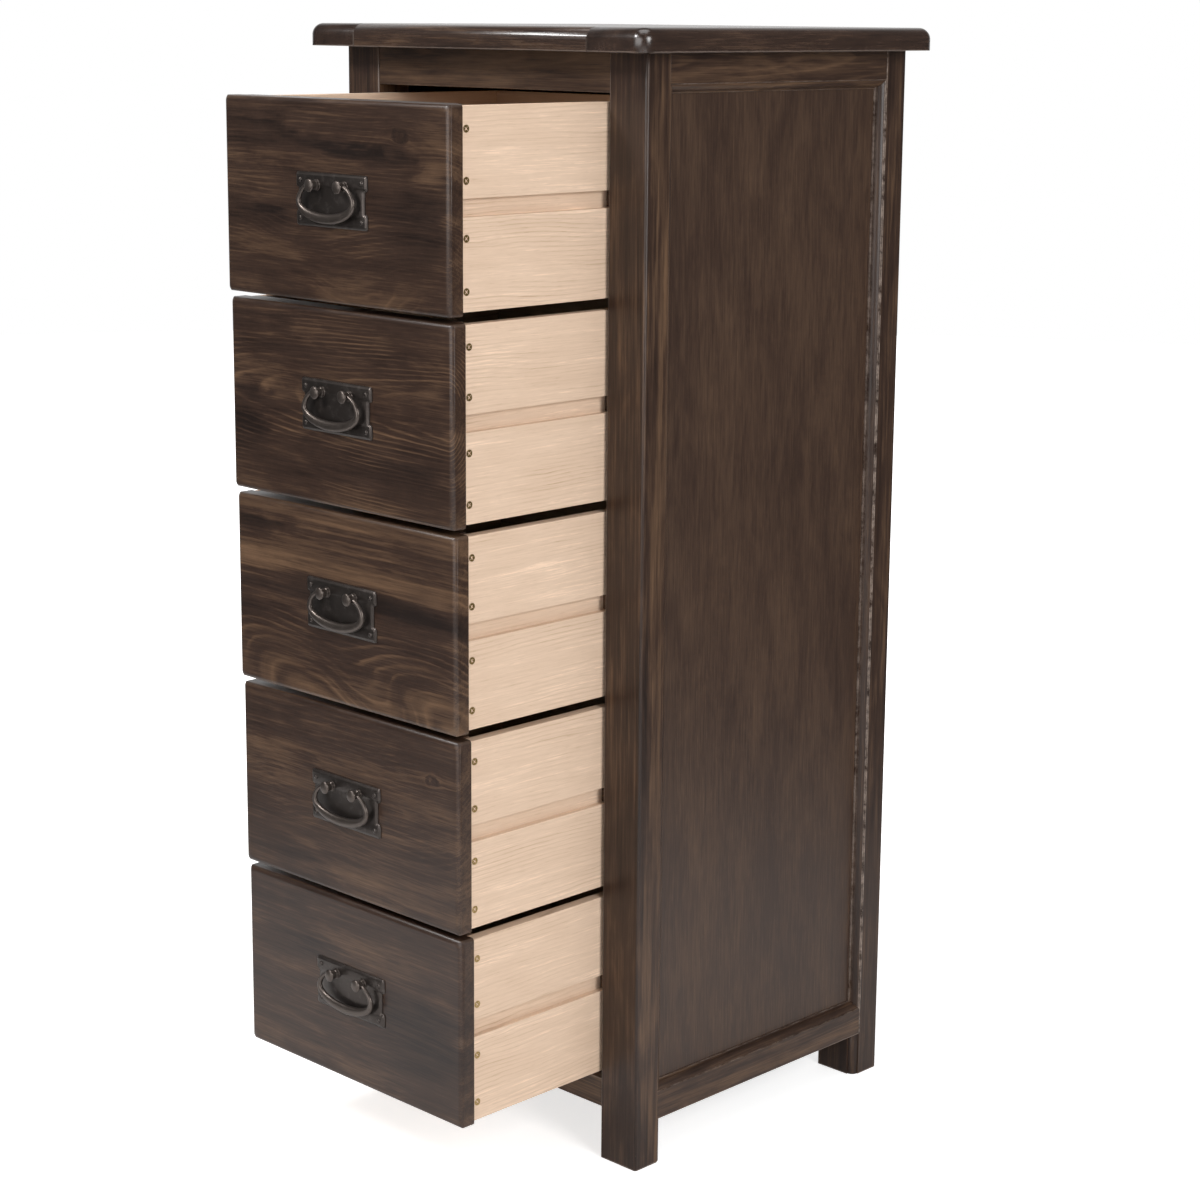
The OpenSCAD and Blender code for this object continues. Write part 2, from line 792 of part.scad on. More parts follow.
module top_board() {
    color(stain) in_place() top_at_carcass() top_field();
}

module top_end_right() {
    color(stain) in_place() top_at_carcass() top_end();
}

module top_end_left() {
    mirror([1, 0, 0]) top_end_right();
}

module leg_front_right() {
    color(stain) in_place() leg_front();
}

module leg_back_right() {
    color(stain) in_place() leg_back();
}

module side_rail_low_right() {
    color(stain) in_place() at_low_rail() side_rail_body();
}

module side_rail_top_right() {
    color(stain) in_place() at_top_rail() side_rail_body();
}

module side_panel_right() {
    color(stain_panel) in_place() side_panel();
}

module front_rail_top() {
    color(stain) in_place() cross_rail(rail_setback, bay_high, front_top_rail_h);
}

module front_rail_low() {
    color(stain) in_place() cross_rail(rail_setback, front_low_rail_z, front_low_rail_h);
}

module back_rails() {
    color(stain) in_place() {
        cross_rail(back_rail_y, foot_h, side_rail_h);
        cross_rail(back_rail_y, bay_high, front_top_rail_h);
    }
}

module back_panel() {
    color(stain_panel) in_place() back_panel_body();
}

module top_cleats() {
    color(pale_pine) in_place() {
        top_cleat(front_cleat_y);
        top_cleat(back_cleat_y);
    }
}

module drawer_runners() {
    color(stain) in_place() both_sides() for (i = [1:drawers])
        translate([0, 0, drawer_z(i) + runner_z]) runner();
}

module carcass_screws() {
    color(brass) in_place() {
        both_sides() for (i = [1:drawers]) translate([0, 0, drawer_z(i) + runner_z]) runner_screws();
        cleat_screws(front_cleat_y);
        cleat_screws(back_cleat_y);
    }
}

module drawer_front(i) {
    color(stain) drawer_place(i) drawer_front_body();
}

module drawer_sides(i) {
    color(pale_pine) drawer_place(i) both_sides() drawer_side();
}

module drawer_back(i) {
    color(pale_pine) drawer_place(i) drawer_back_body();
}

module drawer_bottom(i) {
    color(pale_pine) drawer_place(i) drawer_floor(0, 0);
}

module drawer_screw_set(i) {
    color(brass) drawer_place(i) drawer_screws();
}

module handle_plate(i) {
    color(bronze) handle_place(i) handle_plate_body();
}

module handle_posts(i) {
    color(bronze) handle_place(i) both_sides() translate([post_pitch / 2, post_rise, 0]) handle_post();
}

module bail(i) {
    color(bronze) handle_place(i) bail_body();
}

top_board();
top_end_left();
top_end_right();
mirror([1, 0, 0]) leg_front_right();  // leg_front_left
leg_front_right();
mirror([1, 0, 0]) leg_back_right();  // leg_back_left
leg_back_right();
mirror([1, 0, 0]) side_rail_top_right();  // side_rail_top_left
mirror([1, 0, 0]) side_rail_low_right();  // side_rail_low_left
side_rail_top_right();
side_rail_low_right();
mirror([1, 0, 0]) side_panel_right();  // side_panel_left
side_panel_right();
front_rail_top();
front_rail_low();
back_rails();
back_panel();
top_cleats();
drawer_runners();
carcass_screws();
for (i = [1:drawers]) {
    drawer_front(i);
    drawer_sides(i);
    drawer_back(i);
    drawer_bottom(i);
    drawer_screw_set(i);
    handle_plate(i);
    handle_posts(i);
    bail(i);
}
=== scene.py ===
"""Tallboy: wood, fittings and studio for a packed chest of five drawers."""
import math

import bmesh
import bpy
import numpy as np
from mathutils import Matrix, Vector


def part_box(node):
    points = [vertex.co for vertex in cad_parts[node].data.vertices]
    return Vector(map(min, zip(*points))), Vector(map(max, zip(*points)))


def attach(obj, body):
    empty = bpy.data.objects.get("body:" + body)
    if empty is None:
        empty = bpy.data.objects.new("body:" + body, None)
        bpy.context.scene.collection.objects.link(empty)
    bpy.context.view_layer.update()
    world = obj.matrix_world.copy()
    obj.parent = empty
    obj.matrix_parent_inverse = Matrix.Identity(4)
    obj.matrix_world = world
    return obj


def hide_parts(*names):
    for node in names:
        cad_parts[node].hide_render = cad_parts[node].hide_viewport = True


bl_info = {
    "name": "Tallboy",
    "version": (1, 0, 0),
    "blender": (4, 5, 0),
    "location": "3D View > Sidebar > Tallboy",
    "description": "Dresses a packed chest of five drawers in stained pine, pale pine and bronze",
    "category": "Object",
}

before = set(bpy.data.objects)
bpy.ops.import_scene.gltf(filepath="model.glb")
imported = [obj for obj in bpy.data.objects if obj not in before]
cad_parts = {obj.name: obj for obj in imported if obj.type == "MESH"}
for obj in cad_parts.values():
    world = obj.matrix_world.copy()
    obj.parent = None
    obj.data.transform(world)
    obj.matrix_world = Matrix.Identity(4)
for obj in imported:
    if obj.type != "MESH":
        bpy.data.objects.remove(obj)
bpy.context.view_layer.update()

MM = 0.001
DRAWERS = range(1, 6)
FRONTS = {i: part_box(f"drawer_front_{i}") for i in DRAWERS}
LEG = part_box("leg_front_right")
CARCASS_FRONT, CARCASS_BACK = LEG[0][1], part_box("leg_back_right")[1][1]
LEG_W = LEG[1][1] - LEG[0][1]
MOULD_W = 9 * MM
MOULD_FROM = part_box("side_rail_low_right")[0][2]


class WoodSettings(bpy.types.PropertyGroup):
    stain_dark: bpy.props.FloatVectorProperty(
        name="Stain, dark", description="Darkest clouds and pores of the stained pine",
        default=(0.0115, 0.0060, 0.0042), subtype="COLOR", size=3, min=0, max=1)
    stain_brown: bpy.props.FloatVectorProperty(
        name="Stain, brown", description="Ground of the stained pine",
        default=(0.040, 0.0212, 0.0138), subtype="COLOR", size=3, min=0, max=1)
    stain_tan: bpy.props.FloatVectorProperty(
        name="Stain, tan", description="Hard lines and light clouds of the stained pine",
        default=(0.120, 0.068, 0.038), subtype="COLOR", size=3, min=0, max=1)
    # Worn edge: the light colour of rubbed edges and moulding lips; the same colour also paints a highlight
    # along those edges.
    worn: bpy.props.FloatVectorProperty(
        name="Worn edge", description="Wood that shows where an edge is rubbed",
        default=(0.32, 0.255, 0.215), subtype="COLOR", size=3, min=0, max=1)
    pale_dark: bpy.props.FloatVectorProperty(
        name="Pale pine, dark", description="Rings and pores of the bare pine",
        default=(0.445, 0.297, 0.190), subtype="COLOR", size=3, min=0, max=1)
    pale_light: bpy.props.FloatVectorProperty(
        name="Pale pine, light", description="Soft wood of the bare pine",
        default=(0.70, 0.524, 0.391), subtype="COLOR", size=3, min=0, max=1)
    lacquer_roughness: bpy.props.FloatProperty(
        name="Lacquer roughness", description="Roughness of the satin lacquer",
        default=0.30, min=0, max=1, subtype="FACTOR")
    arris: bpy.props.FloatProperty(
        name="Sanded arris", description="Width of the small bevel that sanding leaves on every board",
        default=0.8 * MM, min=0, unit="LENGTH")


class MetalSettings(bpy.types.PropertyGroup):
    bronze: bpy.props.FloatVectorProperty(
        name="Bronze", description="Dark patina of the handles",
        default=(0.058, 0.048, 0.043), subtype="COLOR", size=3, min=0, max=1)
    # Lighter bronze of the bails and posts: partly the polish of hands, partly a painted sheen, as if these
    # parts caught more light than the plates.
    bronze_polish_and_sheen: bpy.props.FloatVectorProperty(
        name="Bronze, handled", description="Patina that hands have polished on bails and posts",
        default=(0.098, 0.080, 0.070), subtype="COLOR", size=3, min=0, max=1)
    bronze_rubbed: bpy.props.FloatVectorProperty(
        name="Bronze, rubbed", description="Metal that shows where the patina is rubbed off",
        default=(0.33, 0.29, 0.27), subtype="COLOR", size=3, min=0, max=1)
    brass: bpy.props.FloatVectorProperty(
        name="Screw brass", description="Yellow plating of the wood screws",
        default=(0.60, 0.42, 0.17), subtype="COLOR", size=3, min=0, max=1)
    bail_middle: bpy.props.FloatProperty(
        name="Bail, middle", description="Half the bail's thickness at its lowest point",
        default=5.0 * MM, min=2 * MM, max=5.4 * MM, unit="LENGTH")
    bail_end: bpy.props.FloatProperty(
        name="Bail, ends", description="Half the bail's thickness at its pivots",
        default=1.9 * MM, min=1 * MM, max=2.4 * MM, unit="LENGTH")
    post_shank: bpy.props.FloatProperty(
        name="Post shank", description="Radius of a post between plate and head",
        default=4.6 * MM, min=3 * MM, max=4.8 * MM, unit="LENGTH")
    post_head: bpy.props.FloatProperty(
        name="Post head", description="Radius of a post's head",
        default=6.3 * MM, min=5 * MM, max=7 * MM, unit="LENGTH")


class StudioSettings(bpy.types.PropertyGroup):
    lens: bpy.props.FloatProperty(
        name="Lens", description="Focal length on a sensor 36 mm wide", default=78.22, unit="CAMERA")
    shift: bpy.props.FloatProperty(
        name="Vertical shift", description="Camera shift, as a share of the frame", default=-0.045)
    place: bpy.props.FloatVectorProperty(
        name="Camera place", description="Where the camera stands",
        default=(1.93076, -1.89892, 1.16379), subtype="TRANSLATION", size=3, unit="LENGTH")
    yaw: bpy.props.FloatProperty(
        name="Yaw", description="Turn of the camera to the left", default=math.radians(44.45),
        unit="ROTATION")
    pitch: bpy.props.FloatProperty(
        name="Pitch", description="Tilt of the camera down", default=math.radians(11.58), unit="ROTATION")
    roll: bpy.props.FloatProperty(
        name="Roll", description="Turn of the camera about its own axis", default=math.radians(0.46),
        unit="ROTATION")
    floor_white: bpy.props.FloatProperty(
        name="Floor white", description="Reflectance of the studio floor", default=0.82, min=0, max=1,
        subtype="FACTOR")
    key_power: bpy.props.FloatProperty(
        name="Key lamp", description="Power of the soft box on the upper left", default=86, unit="POWER")
    side_power: bpy.props.FloatProperty(
        name="Side lamp", description="Power of the soft box on the right", default=60, unit="POWER")
    over_power: bpy.props.FloatProperty(
        name="Overhead lamp", description="Power of the soft box overhead", default=26, unit="POWER")
    room: bpy.props.FloatProperty(
        name="Room light", description="Light that the white room sends from all sides", default=0.54, min=0)


class Tree:
    """Adds nodes to a material and links them, one call a node."""

    def __init__(self, name):
        self.material = bpy.data.materials.new(name)
        self.material.use_nodes = True
        self.nodes = self.material.node_tree.nodes
        self.links = self.material.node_tree.links
        self.shader = self.nodes["Principled BSDF"]

    def put(self, socket, value):
        if isinstance(value, bpy.types.NodeSocket):
            self.links.new(value, socket)
        elif value is not None:
            socket.default_value = value

    def add(self, kind, *values, out=0, **settings):
        node = self.nodes.new(kind)
        for key, value in settings.items():
            setattr(node, key, value)
        for socket, value in zip(node.inputs, values):
            self.put(socket, value)
        return node.outputs[out]

    def math(self, operation, a, b=None, clamp=False):
        return self.add("ShaderNodeMath", a, b, operation=operation, use_clamp=clamp)

    def plus(self, a, b, clamp=False):
        return self.math("ADD", a, b, clamp)

    def minus(self, a, b, clamp=False):
        return self.math("SUBTRACT", a, b, clamp)

    def times(self, a, b):
        return self.math("MULTIPLY", a, b)

    def over(self, a, b):
        return self.math("DIVIDE", a, b)

    def squares(self, a, b):
        """a * a + b * b"""
        return self.plus(self.times(a, a), self.times(b, b))

    def total(self, *terms):
        value = terms[0]
        for term in terms[1:]:
            value = self.plus(value, term)
        return value

    def point(self):
        """The three object coordinates."""
        node = self.nodes.new("ShaderNodeSeparateXYZ")
        self.links.new(self.add("ShaderNodeTexCoord", out=3), node.inputs[0])
        return node.outputs[0], node.outputs[1], node.outputs[2]

    def noise(self, point, scales, detail=3.0, rough=0.5, distort=0.0):
        """Noise stretched by its own scale along each of the board's three directions."""
        parts = [self.times(c, s) for c, s in zip(point, scales)]
        node = self.nodes.new("ShaderNodeTexNoise")
        self.links.new(self.add("ShaderNodeCombineXYZ", *parts), node.inputs["Vector"])
        for key, value in (("Scale", 1.0), ("Detail", detail), ("Roughness", rough), ("Distortion", distort)):
            node.inputs[key].default_value = value
        return node.outputs["Fac"]

    def centred(self, fac, size):
        """Turns a noise of 0 to 1 into one of -size/2 to size/2."""
        return self.times(self.minus(fac, 0.5), size)

    def ramp(self, fac, stops):
        node = self.nodes.new("ShaderNodeValToRGB")
        elements = node.color_ramp.elements
        while len(elements) < len(stops):
            elements.new(0.5)
        for element, (place, value) in zip(elements, stops):
            element.position = place
            element.color = (value, value, value, 1) if isinstance(value, (int, float)) else (*value, 1)
        self.links.new(fac, node.inputs[0])
        return node.outputs[0]

    def step(self, value, low, high):
        """0 at low and 1 at high, with a soft step between them."""
        node = self.nodes.new("ShaderNodeMapRange")
        node.interpolation_type = "SMOOTHSTEP"
        self.put(node.inputs["Value"], value)
        node.inputs["From Min"].default_value = low
        node.inputs["From Max"].default_value = high
        return node.outputs[0]

    def blend(self, fac, a, b):
        node = self.nodes.new("ShaderNodeMix")
        node.data_type = "RGBA"
        colour_a, colour_b = node.inputs[6], node.inputs[7]
        self.put(node.inputs[0], fac)
        self.put(colour_a, (*a, 1) if isinstance(a, tuple) else a)
        self.put(colour_b, (*b, 1) if isinstance(b, tuple) else b)
        return node.outputs[2]

    def finish(self, colour, roughness, height, bump, gloss):
        """Links the surface's colour, roughness and relief to its shader."""
        self.links.new(colour, self.shader.inputs["Base Color"])
        self.links.new(roughness, self.shader.inputs["Roughness"])
        node = self.nodes.new("ShaderNodeBump")
        node.inputs["Strength"].default_value = 0.4
        node.inputs["Distance"].default_value = bump
        self.links.new(height, node.inputs["Height"])
        self.links.new(node.outputs[0], self.shader.inputs["Normal"])
        self.shader.inputs["Specular IOR Level"].default_value = gloss
        return self.material


# Which object coordinate runs along the grain, across the face and into the board.
AXES = {
    "X": (0, 2, 1), "Y": (1, 2, 0), "Z": (2, 1, 0),
    "top": (0, 1, 2), "top_end": (1, 0, 2), "stile": (2, 0, 1),
}
KNOT_REACH = 4
KNOT_TONES = ((0.0, 0.30), (0.13, 0.42), (0.20, 0.0), (0.27, 0.10), (0.36, 0.78), (0.55, 0.62), (1.0, 0.5))
RING_TONES = ((0.0, 0.25), (0.09, 0.0), (0.60, 0.06), (0.87, 1.0), (0.94, 0.85), (1.0, 0.25))
WAVE_SKEW, WAVE_WOBBLE, WAVE_FADE = 1.2, 1.8, 80 * MM
FLAME_SHIFT, FLAME_RAG = 120 * MM, 26 * MM
PINE_RELIEF = 0.10 * MM


def board_coordinates(t, point, along, start):
    """Object coordinates as length along the grain, width across the face and depth into the board."""
    return [t.minus(point[k], c) for k, c in zip(AXES[along], start)]


def grow_round_knots(t, u, v, knots):
    """Pushes the grain round each knot, as a stream flows round a post. At r from the middle of a
    knot of radius R, the width measured from that middle is multiplied by 1 - R*R / (r*r). Returns
    the width so bent and the knots' tone: one half, with a dark rim and a light halo to each knot."""
    tone = None
    for place_u, place_v, radius in knots:
        reach = radius * KNOT_REACH
        du = t.times(t.minus(u, place_u), 0.5)
        ragged = t.centred(t.noise((u, v, 0.0), (50.0, 90.0, 1.0)), reach)
        dv = t.plus(t.minus(v, place_v), ragged)
        square = t.squares(du, dv)
        held = t.over(radius * radius, t.math("MAXIMUM", square, radius * radius))
        v = t.minus(v, t.times(dv, held))
        ring = t.ramp(t.over(t.math("SQRT", square), reach), KNOT_TONES)
        tone = ring if tone is None else t.total(tone, ring, -0.5)
    return v, tone


def edge_wear_and_highlight(t, point, box, wear):
    """1 on the board's edges, fading between the two widths of wear; the light colour it lays there is
    both rubbed stain and a painted highlight. Of the distances to the nearest face along each axis,
    the two smaller ones add up to little only on an edge."""
    away = []
    for c, low, high in zip(point, *box):
        offset = t.math("ABSOLUTE", t.minus(c, (low + high) / 2))
        away.append(t.minus((high - low) / 2, offset))
    furthest = t.math("MAXIMUM", away[0], t.math("MAXIMUM", away[1], away[2]))
    near = t.minus(t.total(*away), furthest)
    rub_and_highlight_noise = t.centred(t.noise(point, (90.0, 90.0, 90.0), 4.0, 0.7), 2 * (wear[1] - wear[0]))
    return t.step(t.plus(near, rub_and_highlight_noise), wear[1], wear[0])


def wear_and_highlight_mask(t, point, box, wear, rubbed, lips):
    """Where the stain is rubbed off and a painted highlight lies: along the edges of the box, and along
    the lips of mouldings. A lip is (axis, place, width, amount), and it is rubbed only above the foot,
    where it is moulded."""
    mask = t.times(edge_wear_and_highlight(t, point, box, wear), rubbed)
    moulded = t.step(point[2], MOULD_FROM, MOULD_FROM + 4 * MM)
    for axis, place, width, amount in lips:
        off = t.math("ABSOLUTE", t.minus(point[axis], place))
        rub_and_highlight_noise = t.ramp(t.noise(point, (60.0, 60.0, 60.0), 5.0, 0.8), ((0.40, 0.0), (0.66, amount)))
        near = t.step(off, width, width * 0.3)
        mask = t.math("MAXIMUM", mask, t.times(t.times(rub_and_highlight_noise, moulded), near))
    return mask


class Grain:
    """How a board is sawn: where the pith lies, and how strong each feature of the grain is. A knot
    is (u, v, radius), a flame (u, v, half length, half height, slope, amount), and waves (height, length,
    crest, fade) are those of a pith that comes and goes behind the face: it draws arches below fade."""

    def __init__(self, pith=(0.02, 0.05), lean=0.05, spacing=4.6 * MM, wander=18 * MM, flame=8 * MM,
                 lines=0.30, bands=0.26, cloud=0.44, streak=0.30, fibre=0.36, pores=0.0, level=0.40,
                 waves=None, knots=(), flames=()):
        self.pith, self.lean, self.spacing, self.waves = pith, lean, spacing, waves
        self.wander, self.flame = wander, flame
        self.lines, self.bands, self.cloud = lines, bands, cloud
        self.streak, self.fibre, self.pores = streak, fibre, pores
        self.level, self.knots, self.flames = level, knots, flames


def lay_flames(t, u, v, flames):
    """Light and dark flames in the figure: each adds its amount times a soft step of its own
    squared distance, which is 1 on its rim."""
    tone = 0.0
    for place_u, place_v, length, height, slope, amount in flames:
        along = t.minus(u, place_u)
        above = t.minus(t.minus(v, place_v), t.times(along, slope))
        square = t.squares(t.over(along, length), t.over(above, height))
        tone = t.plus(tone, t.times(t.step(square, 1.0, 0.0), amount))
    return tone


def lay_rings(t, here, grain):
    """Rings, as shells of equal distance from a pith that leans away from the board and wanders
    along the grain. Returns the width as the grain bends it, the ring's number and its hard line."""
    u, v, w = here
    slow = t.noise(here, (2.3, 7.5, 7.5), 2.0, 0.5)
    bend = t.noise(here, (8.0, 28.0, 28.0), 3.0, 0.5, 0.8)
    bent = t.plus(v, t.centred(bend, grain.flame))
    across = t.plus(t.minus(bent, grain.pith[0]), t.centred(slow, grain.wander))
    behind = t.plus(t.plus(w, grain.pith[1]), t.times(u, grain.lean))
    if grain.waves:
        height, length, crest, fade = grain.waves
        skewed = t.plus(t.minus(u, crest), t.times(v, WAVE_SKEW))
        wobble = t.centred(t.noise(here, (6.0, 9.0, 9.0), 2.0), WAVE_WOBBLE)
        wavy = t.plus(t.times(skewed, math.tau / length), wobble)
        tall = t.times(t.step(v, fade, fade - WAVE_FADE), -height / 2)
        behind = t.plus(behind, t.times(t.math("COSINE", wavy), tall))
    distance = t.math("SQRT", t.squares(across, behind))
    quick = t.noise(here, (13.0, 60.0, 60.0), 2.0, 0.5)
    rings = t.plus(t.over(distance, grain.spacing), t.centred(quick, 0.6))
    year = t.noise((t.math("FLOOR", rings), 0.0, 0.0), (0.71, 1.0, 1.0), 0.0)
    where = t.step(t.noise(here, (4.0, 22.0, 22.0), 3.0, 0.5), 0.42, 0.62)
    strength = t.times(t.plus(0.1, year), t.plus(0.12, where))
    return bent, rings, t.times(t.ramp(t.math("FRACT", rings), RING_TONES), strength)


def pine(name, along, start, grain, colours, roughness, gloss, worn=None):
    """Plain sawn pine. The stain sinks into the soft part of a ring and leaves its hard line light;
    clouds of stain, streaks, fibres and pores lie over the rings. Worn is the light colour of rubbed
    edges and lips, which also paints a highlight there, with what its mask needs."""
    t = Tree(name)
    point = t.point()
    u, v, w = board_coordinates(t, point, along, start)
    v, knot = grow_round_knots(t, u, v, grain.knots)
    here = (u, v, w)
    bent, rings, hard = lay_rings(t, here, grain)
    band = t.noise((rings, 0.3, 0.7), (0.42, 1.0, 1.0), 2.0, 0.5)
    cloud = t.noise(here, (8.5, 27.0, 27.0), 4.0, 0.62, 0.6)
    streak = t.noise(here, (7.0, 210.0, 210.0), 3.0, 0.6)
    fibre = t.noise(here, (24.0, 850.0, 850.0), 3.0, 0.65)
    tone = t.plus(grain.level, t.times(hard, grain.lines))
    for noise, share in ((band, grain.bands), (cloud, grain.cloud), (streak, grain.streak),
                         (fibre, grain.fibre)):
        tone = t.plus(tone, t.centred(noise, share * 2))
    if grain.flames:
        shifted = t.plus(u, t.centred(cloud, FLAME_SHIFT))
        ragged = t.plus(bent, t.centred(t.plus(cloud, streak), FLAME_RAG))
        tone = t.plus(tone, lay_flames(t, shifted, ragged, grain.flames))
    if grain.pores:
        tick = t.step(t.noise(here, (62.0, 1000.0, 1000.0), 1.0, 0.5), 0.58, 0.72)
        tone = t.plus(tone, t.times(tick, grain.pores))
    if knot is not None:
        tone = t.plus(tone, t.centred(knot, 0.32))
    dark, brown, light = colours
    colour = t.ramp(tone, ((0.0, dark), (0.40, brown), (0.80, light), (1.0, tuple(c * 1.25 for c in light))))
    rough = t.plus(roughness, t.centred(t.plus(cloud, fibre), 0.14), clamp=True)
    # The worn colour goes on rubbed edges and lips, where it is also a painted highlight.
    if worn:
        rubbed_and_highlit_colour, places = worn
        mask = wear_and_highlight_mask(t, point, *places)
        colour = t.blend(mask, colour, rubbed_and_highlit_colour)
        rough = t.minus(rough, t.times(mask, 0.15), clamp=True)
    height = t.plus(t.times(fibre, 0.8), t.times(hard, 0.5))
    return t.finish(colour, rough, height, PINE_RELIEF, gloss)


def bronze(name, dark, rubbed, worn=0.14):
    """Dark patina with cloudy tone and a fine cast grain; the metal shows on worn spots."""
    t = Tree(name)
    point = t.point()
    cloud = t.noise(point, (110.0, 110.0, 110.0), 4.0, 0.6)
    grain = t.noise(point, (1100.0, 1100.0, 1100.0), 3.0, 0.6)
    wear = t.step(t.plus(cloud, t.centred(grain, 0.35)), 0.50, 0.78)
    colour = t.blend(t.times(wear, worn), dark, rubbed)
    rough = t.plus(0.25, t.times(cloud, 0.16))
    t.shader.inputs["Metallic"].default_value = 0.8
    return t.finish(colour, rough, grain, 0.02 * MM, 0.5)


def brass(name, colour):
    """Yellow plating with a duller film in its hollows."""
    t = Tree(name)
    film = t.noise(t.point(), (400.0, 400.0, 400.0), 3.0, 0.6)
    t.shader.inputs["Metallic"].default_value = 1.0
    return t.finish(t.blend(film, colour, tuple(c * 0.45 for c in colour)),
                    t.plus(0.28, t.times(film, 0.2)), film, 0.05 * MM, 0.5)


def give(name, material):
    """Puts a material in every slot of a CAD node."""
    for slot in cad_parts[name].material_slots:
        slot.material = material


def ease(names, width, segments=2):
    """Merges a node's loose triangles and rounds its sharp edges, by modifiers alone."""
    for name in names:
        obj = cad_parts[name]
        weld = obj.modifiers.new("weld", "WELD")
        weld.merge_threshold = 0.01 * MM
        bevel = obj.modifiers.new("arris", "BEVEL")
        bevel.width, bevel.segments = width, segments
        bevel.limit_method, bevel.angle_limit = "ANGLE", math.radians(40)
        bevel.use_clamp_overlap = True
        bevel.harden_normals = True


def stained(name, along, start, grain, wood, wear=(0.6 * MM, 1.4 * MM), rubbed=0.35, lips=(), roughness=None,
            gloss=0.4):
    """Stained pine for one CAD node, worn along the edges of its box and along its lips, where the light wear
    also paints a highlight.
    """
    colours = tuple(wood.stain_dark), tuple(wood.stain_brown), tuple(wood.stain_tan)
    worn = tuple(wood.worn), (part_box(name), wear, rubbed, lips)
    roughness = wood.lacquer_roughness if roughness is None else roughness
    give(name, pine(f"{name}_pine", along, start, grain, colours, roughness, gloss, worn))


def bare(name, along, start, grain, wood):
    """Bare pine for one CAD node."""
    middle = tuple((2 * a + b) / 3 for a, b in zip(wood.pale_light, wood.pale_dark))
    colours = tuple(wood.pale_dark), middle, tuple(wood.pale_light)
    give(name, pine(f"{name}_bare_pine", along, start, grain, colours, 0.6, 0.25))


LEG_X, LEG_Y = 193 * MM, 20 * MM


class TALLBOY_OT_carcass(bpy.types.Operator):
    """Legs, rails, panels, runners and battens of the carcass"""
    bl_idname = "tallboy.carcass"
    bl_label = "Carcass"

    def execute(self, context):
        wood = context.scene.tallboy_wood
        self.legs(wood)
        self.rails(wood)
        for side, x in (("left", -LEG_X), ("right", LEG_X)):
            grain = Grain((0.02, 0.6), 0.02, 6 * MM, 40 * MM, 6 * MM, lines=0.0, bands=0.06, cloud=0.20,
                          streak=0.06, fibre=0.30, pores=0.08, level=0.465)
            start = x * 7, CARCASS_FRONT + 0.17, x
            stained(f"side_panel_{side}", "Z", start, grain, wood, roughness=0.32, gloss=0.5)
        stained("back_panel", "stile", (3.1, 0, CARCASS_FRONT),
                Grain((0.02, 0.6), 0.02, 6 * MM, 40 * MM, lines=0.0, bands=0.06, cloud=0.2, pores=0.36), wood)
        stained("drawer_runners", "Y", (0.7, 0.5, 0.1), Grain(), wood)
        bare("top_cleats", "X", (1.3, 0.2, 0.1), Grain(), wood)
        boards = ("leg_", "side_rail", "front_rail", "back_rails", "top_cleats", "drawer_runners")
        ease([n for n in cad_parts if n.startswith(boards)], wood.arris)
        return {"FINISHED"}

    def legs(self, wood):
        """The lips of the mouldings are rubbed most on the back legs, and the same light lines paint a
        highlight along the moulded edges. On the front legs a band of painted light as long as the leg
        lies over the outer side and makes it read brighter."""
        # Light lines on the moulding lips and leg edges: partly rubbed stain, partly a painted highlight;
        # faint on the front legs, strong on the back legs.
        faint_rub_and_highlight = (0.7 * MM, 0.14), (0.9 * MM, 0.25)
        chafed_and_highlit = (2.0 * MM, 1.4), (2.6 * MM, 0.8)
        # Painted light: a lighter band along each front leg over its side faces, so the sides read brighter
        # than the front, as where the side lamp falls.
        painted_light_side = (0.0, 0.018, 9.0, 0.024, 0.0, 0.19)
        ends = (("front", CARCASS_FRONT, 1, 0.3, faint_rub_and_highlight, (painted_light_side,)),
                ("back", CARCASS_BACK, -1, 1.7, chafed_and_highlit, ()))
        for side, x in (("left", -LEG_X), ("right", LEG_X)):
            for end, face, way, log, wear, flames in ends:
                grain = Grain((0.018, 0.03), 0.012, 3.6 * MM, 10 * MM, 3 * MM, lines=0.30, bands=0.34,
                              cloud=0.34, streak=0.46, fibre=0.34, level=0.37, flames=flames)
                outer, inner = face + way * (LEG_W - MOULD_W), face + way * LEG_W
                stained(f"leg_{end}_{side}", "Z", (log + x, face + way * LEG_Y, x), grain, wood,
                        (1.0 * MM, 1.7 * MM), 0.4, ((1, outer, *wear[0]), (1, inner, *wear[1])))

    def rails(self, wood):
        """Each side rail has its moulding on the edge that faces the panel."""
        sides = ("side_rail_top_left", "side_rail_low_left", "side_rail_top_right", "side_rail_low_right")
        for k, name in enumerate(sides):
            low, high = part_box(name)
            inner, way = (low[2], 1) if "top" in name else (high[2], -1)
            grain = Grain((0.012, 0.03), 0.05, 4 * MM, 12 * MM, 8 * MM, lines=0.25, cloud=0.5, level=0.42)
            # The light lines on the moulding lips are partly rubbed stain and partly a painted highlight of
            # the moulding's edges.
            stained(name, "Y", (0.4 * k, (low[2] + high[2]) / 2, low[0]), grain, wood,
                    lips=((2, inner + way * MOULD_W, 0.8 * MM, 0.4), (2, inner, 0.9 * MM, 0.4)))
        for k, name in enumerate(("front_rail_top", "front_rail_low", "back_rails")):
            low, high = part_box(name)
            grain = Grain((0.015, 0.03), 0.05, 3.6 * MM, 10 * MM, 4 * MM, cloud=0.5, level=0.55)
            stained(name, "X", (0.3 + 0.5 * k, (low[2] + high[2]) / 2, low[1]), grain, wood)


TOP_Z, END_BOARD_X = 1150 * MM, 207 * MM


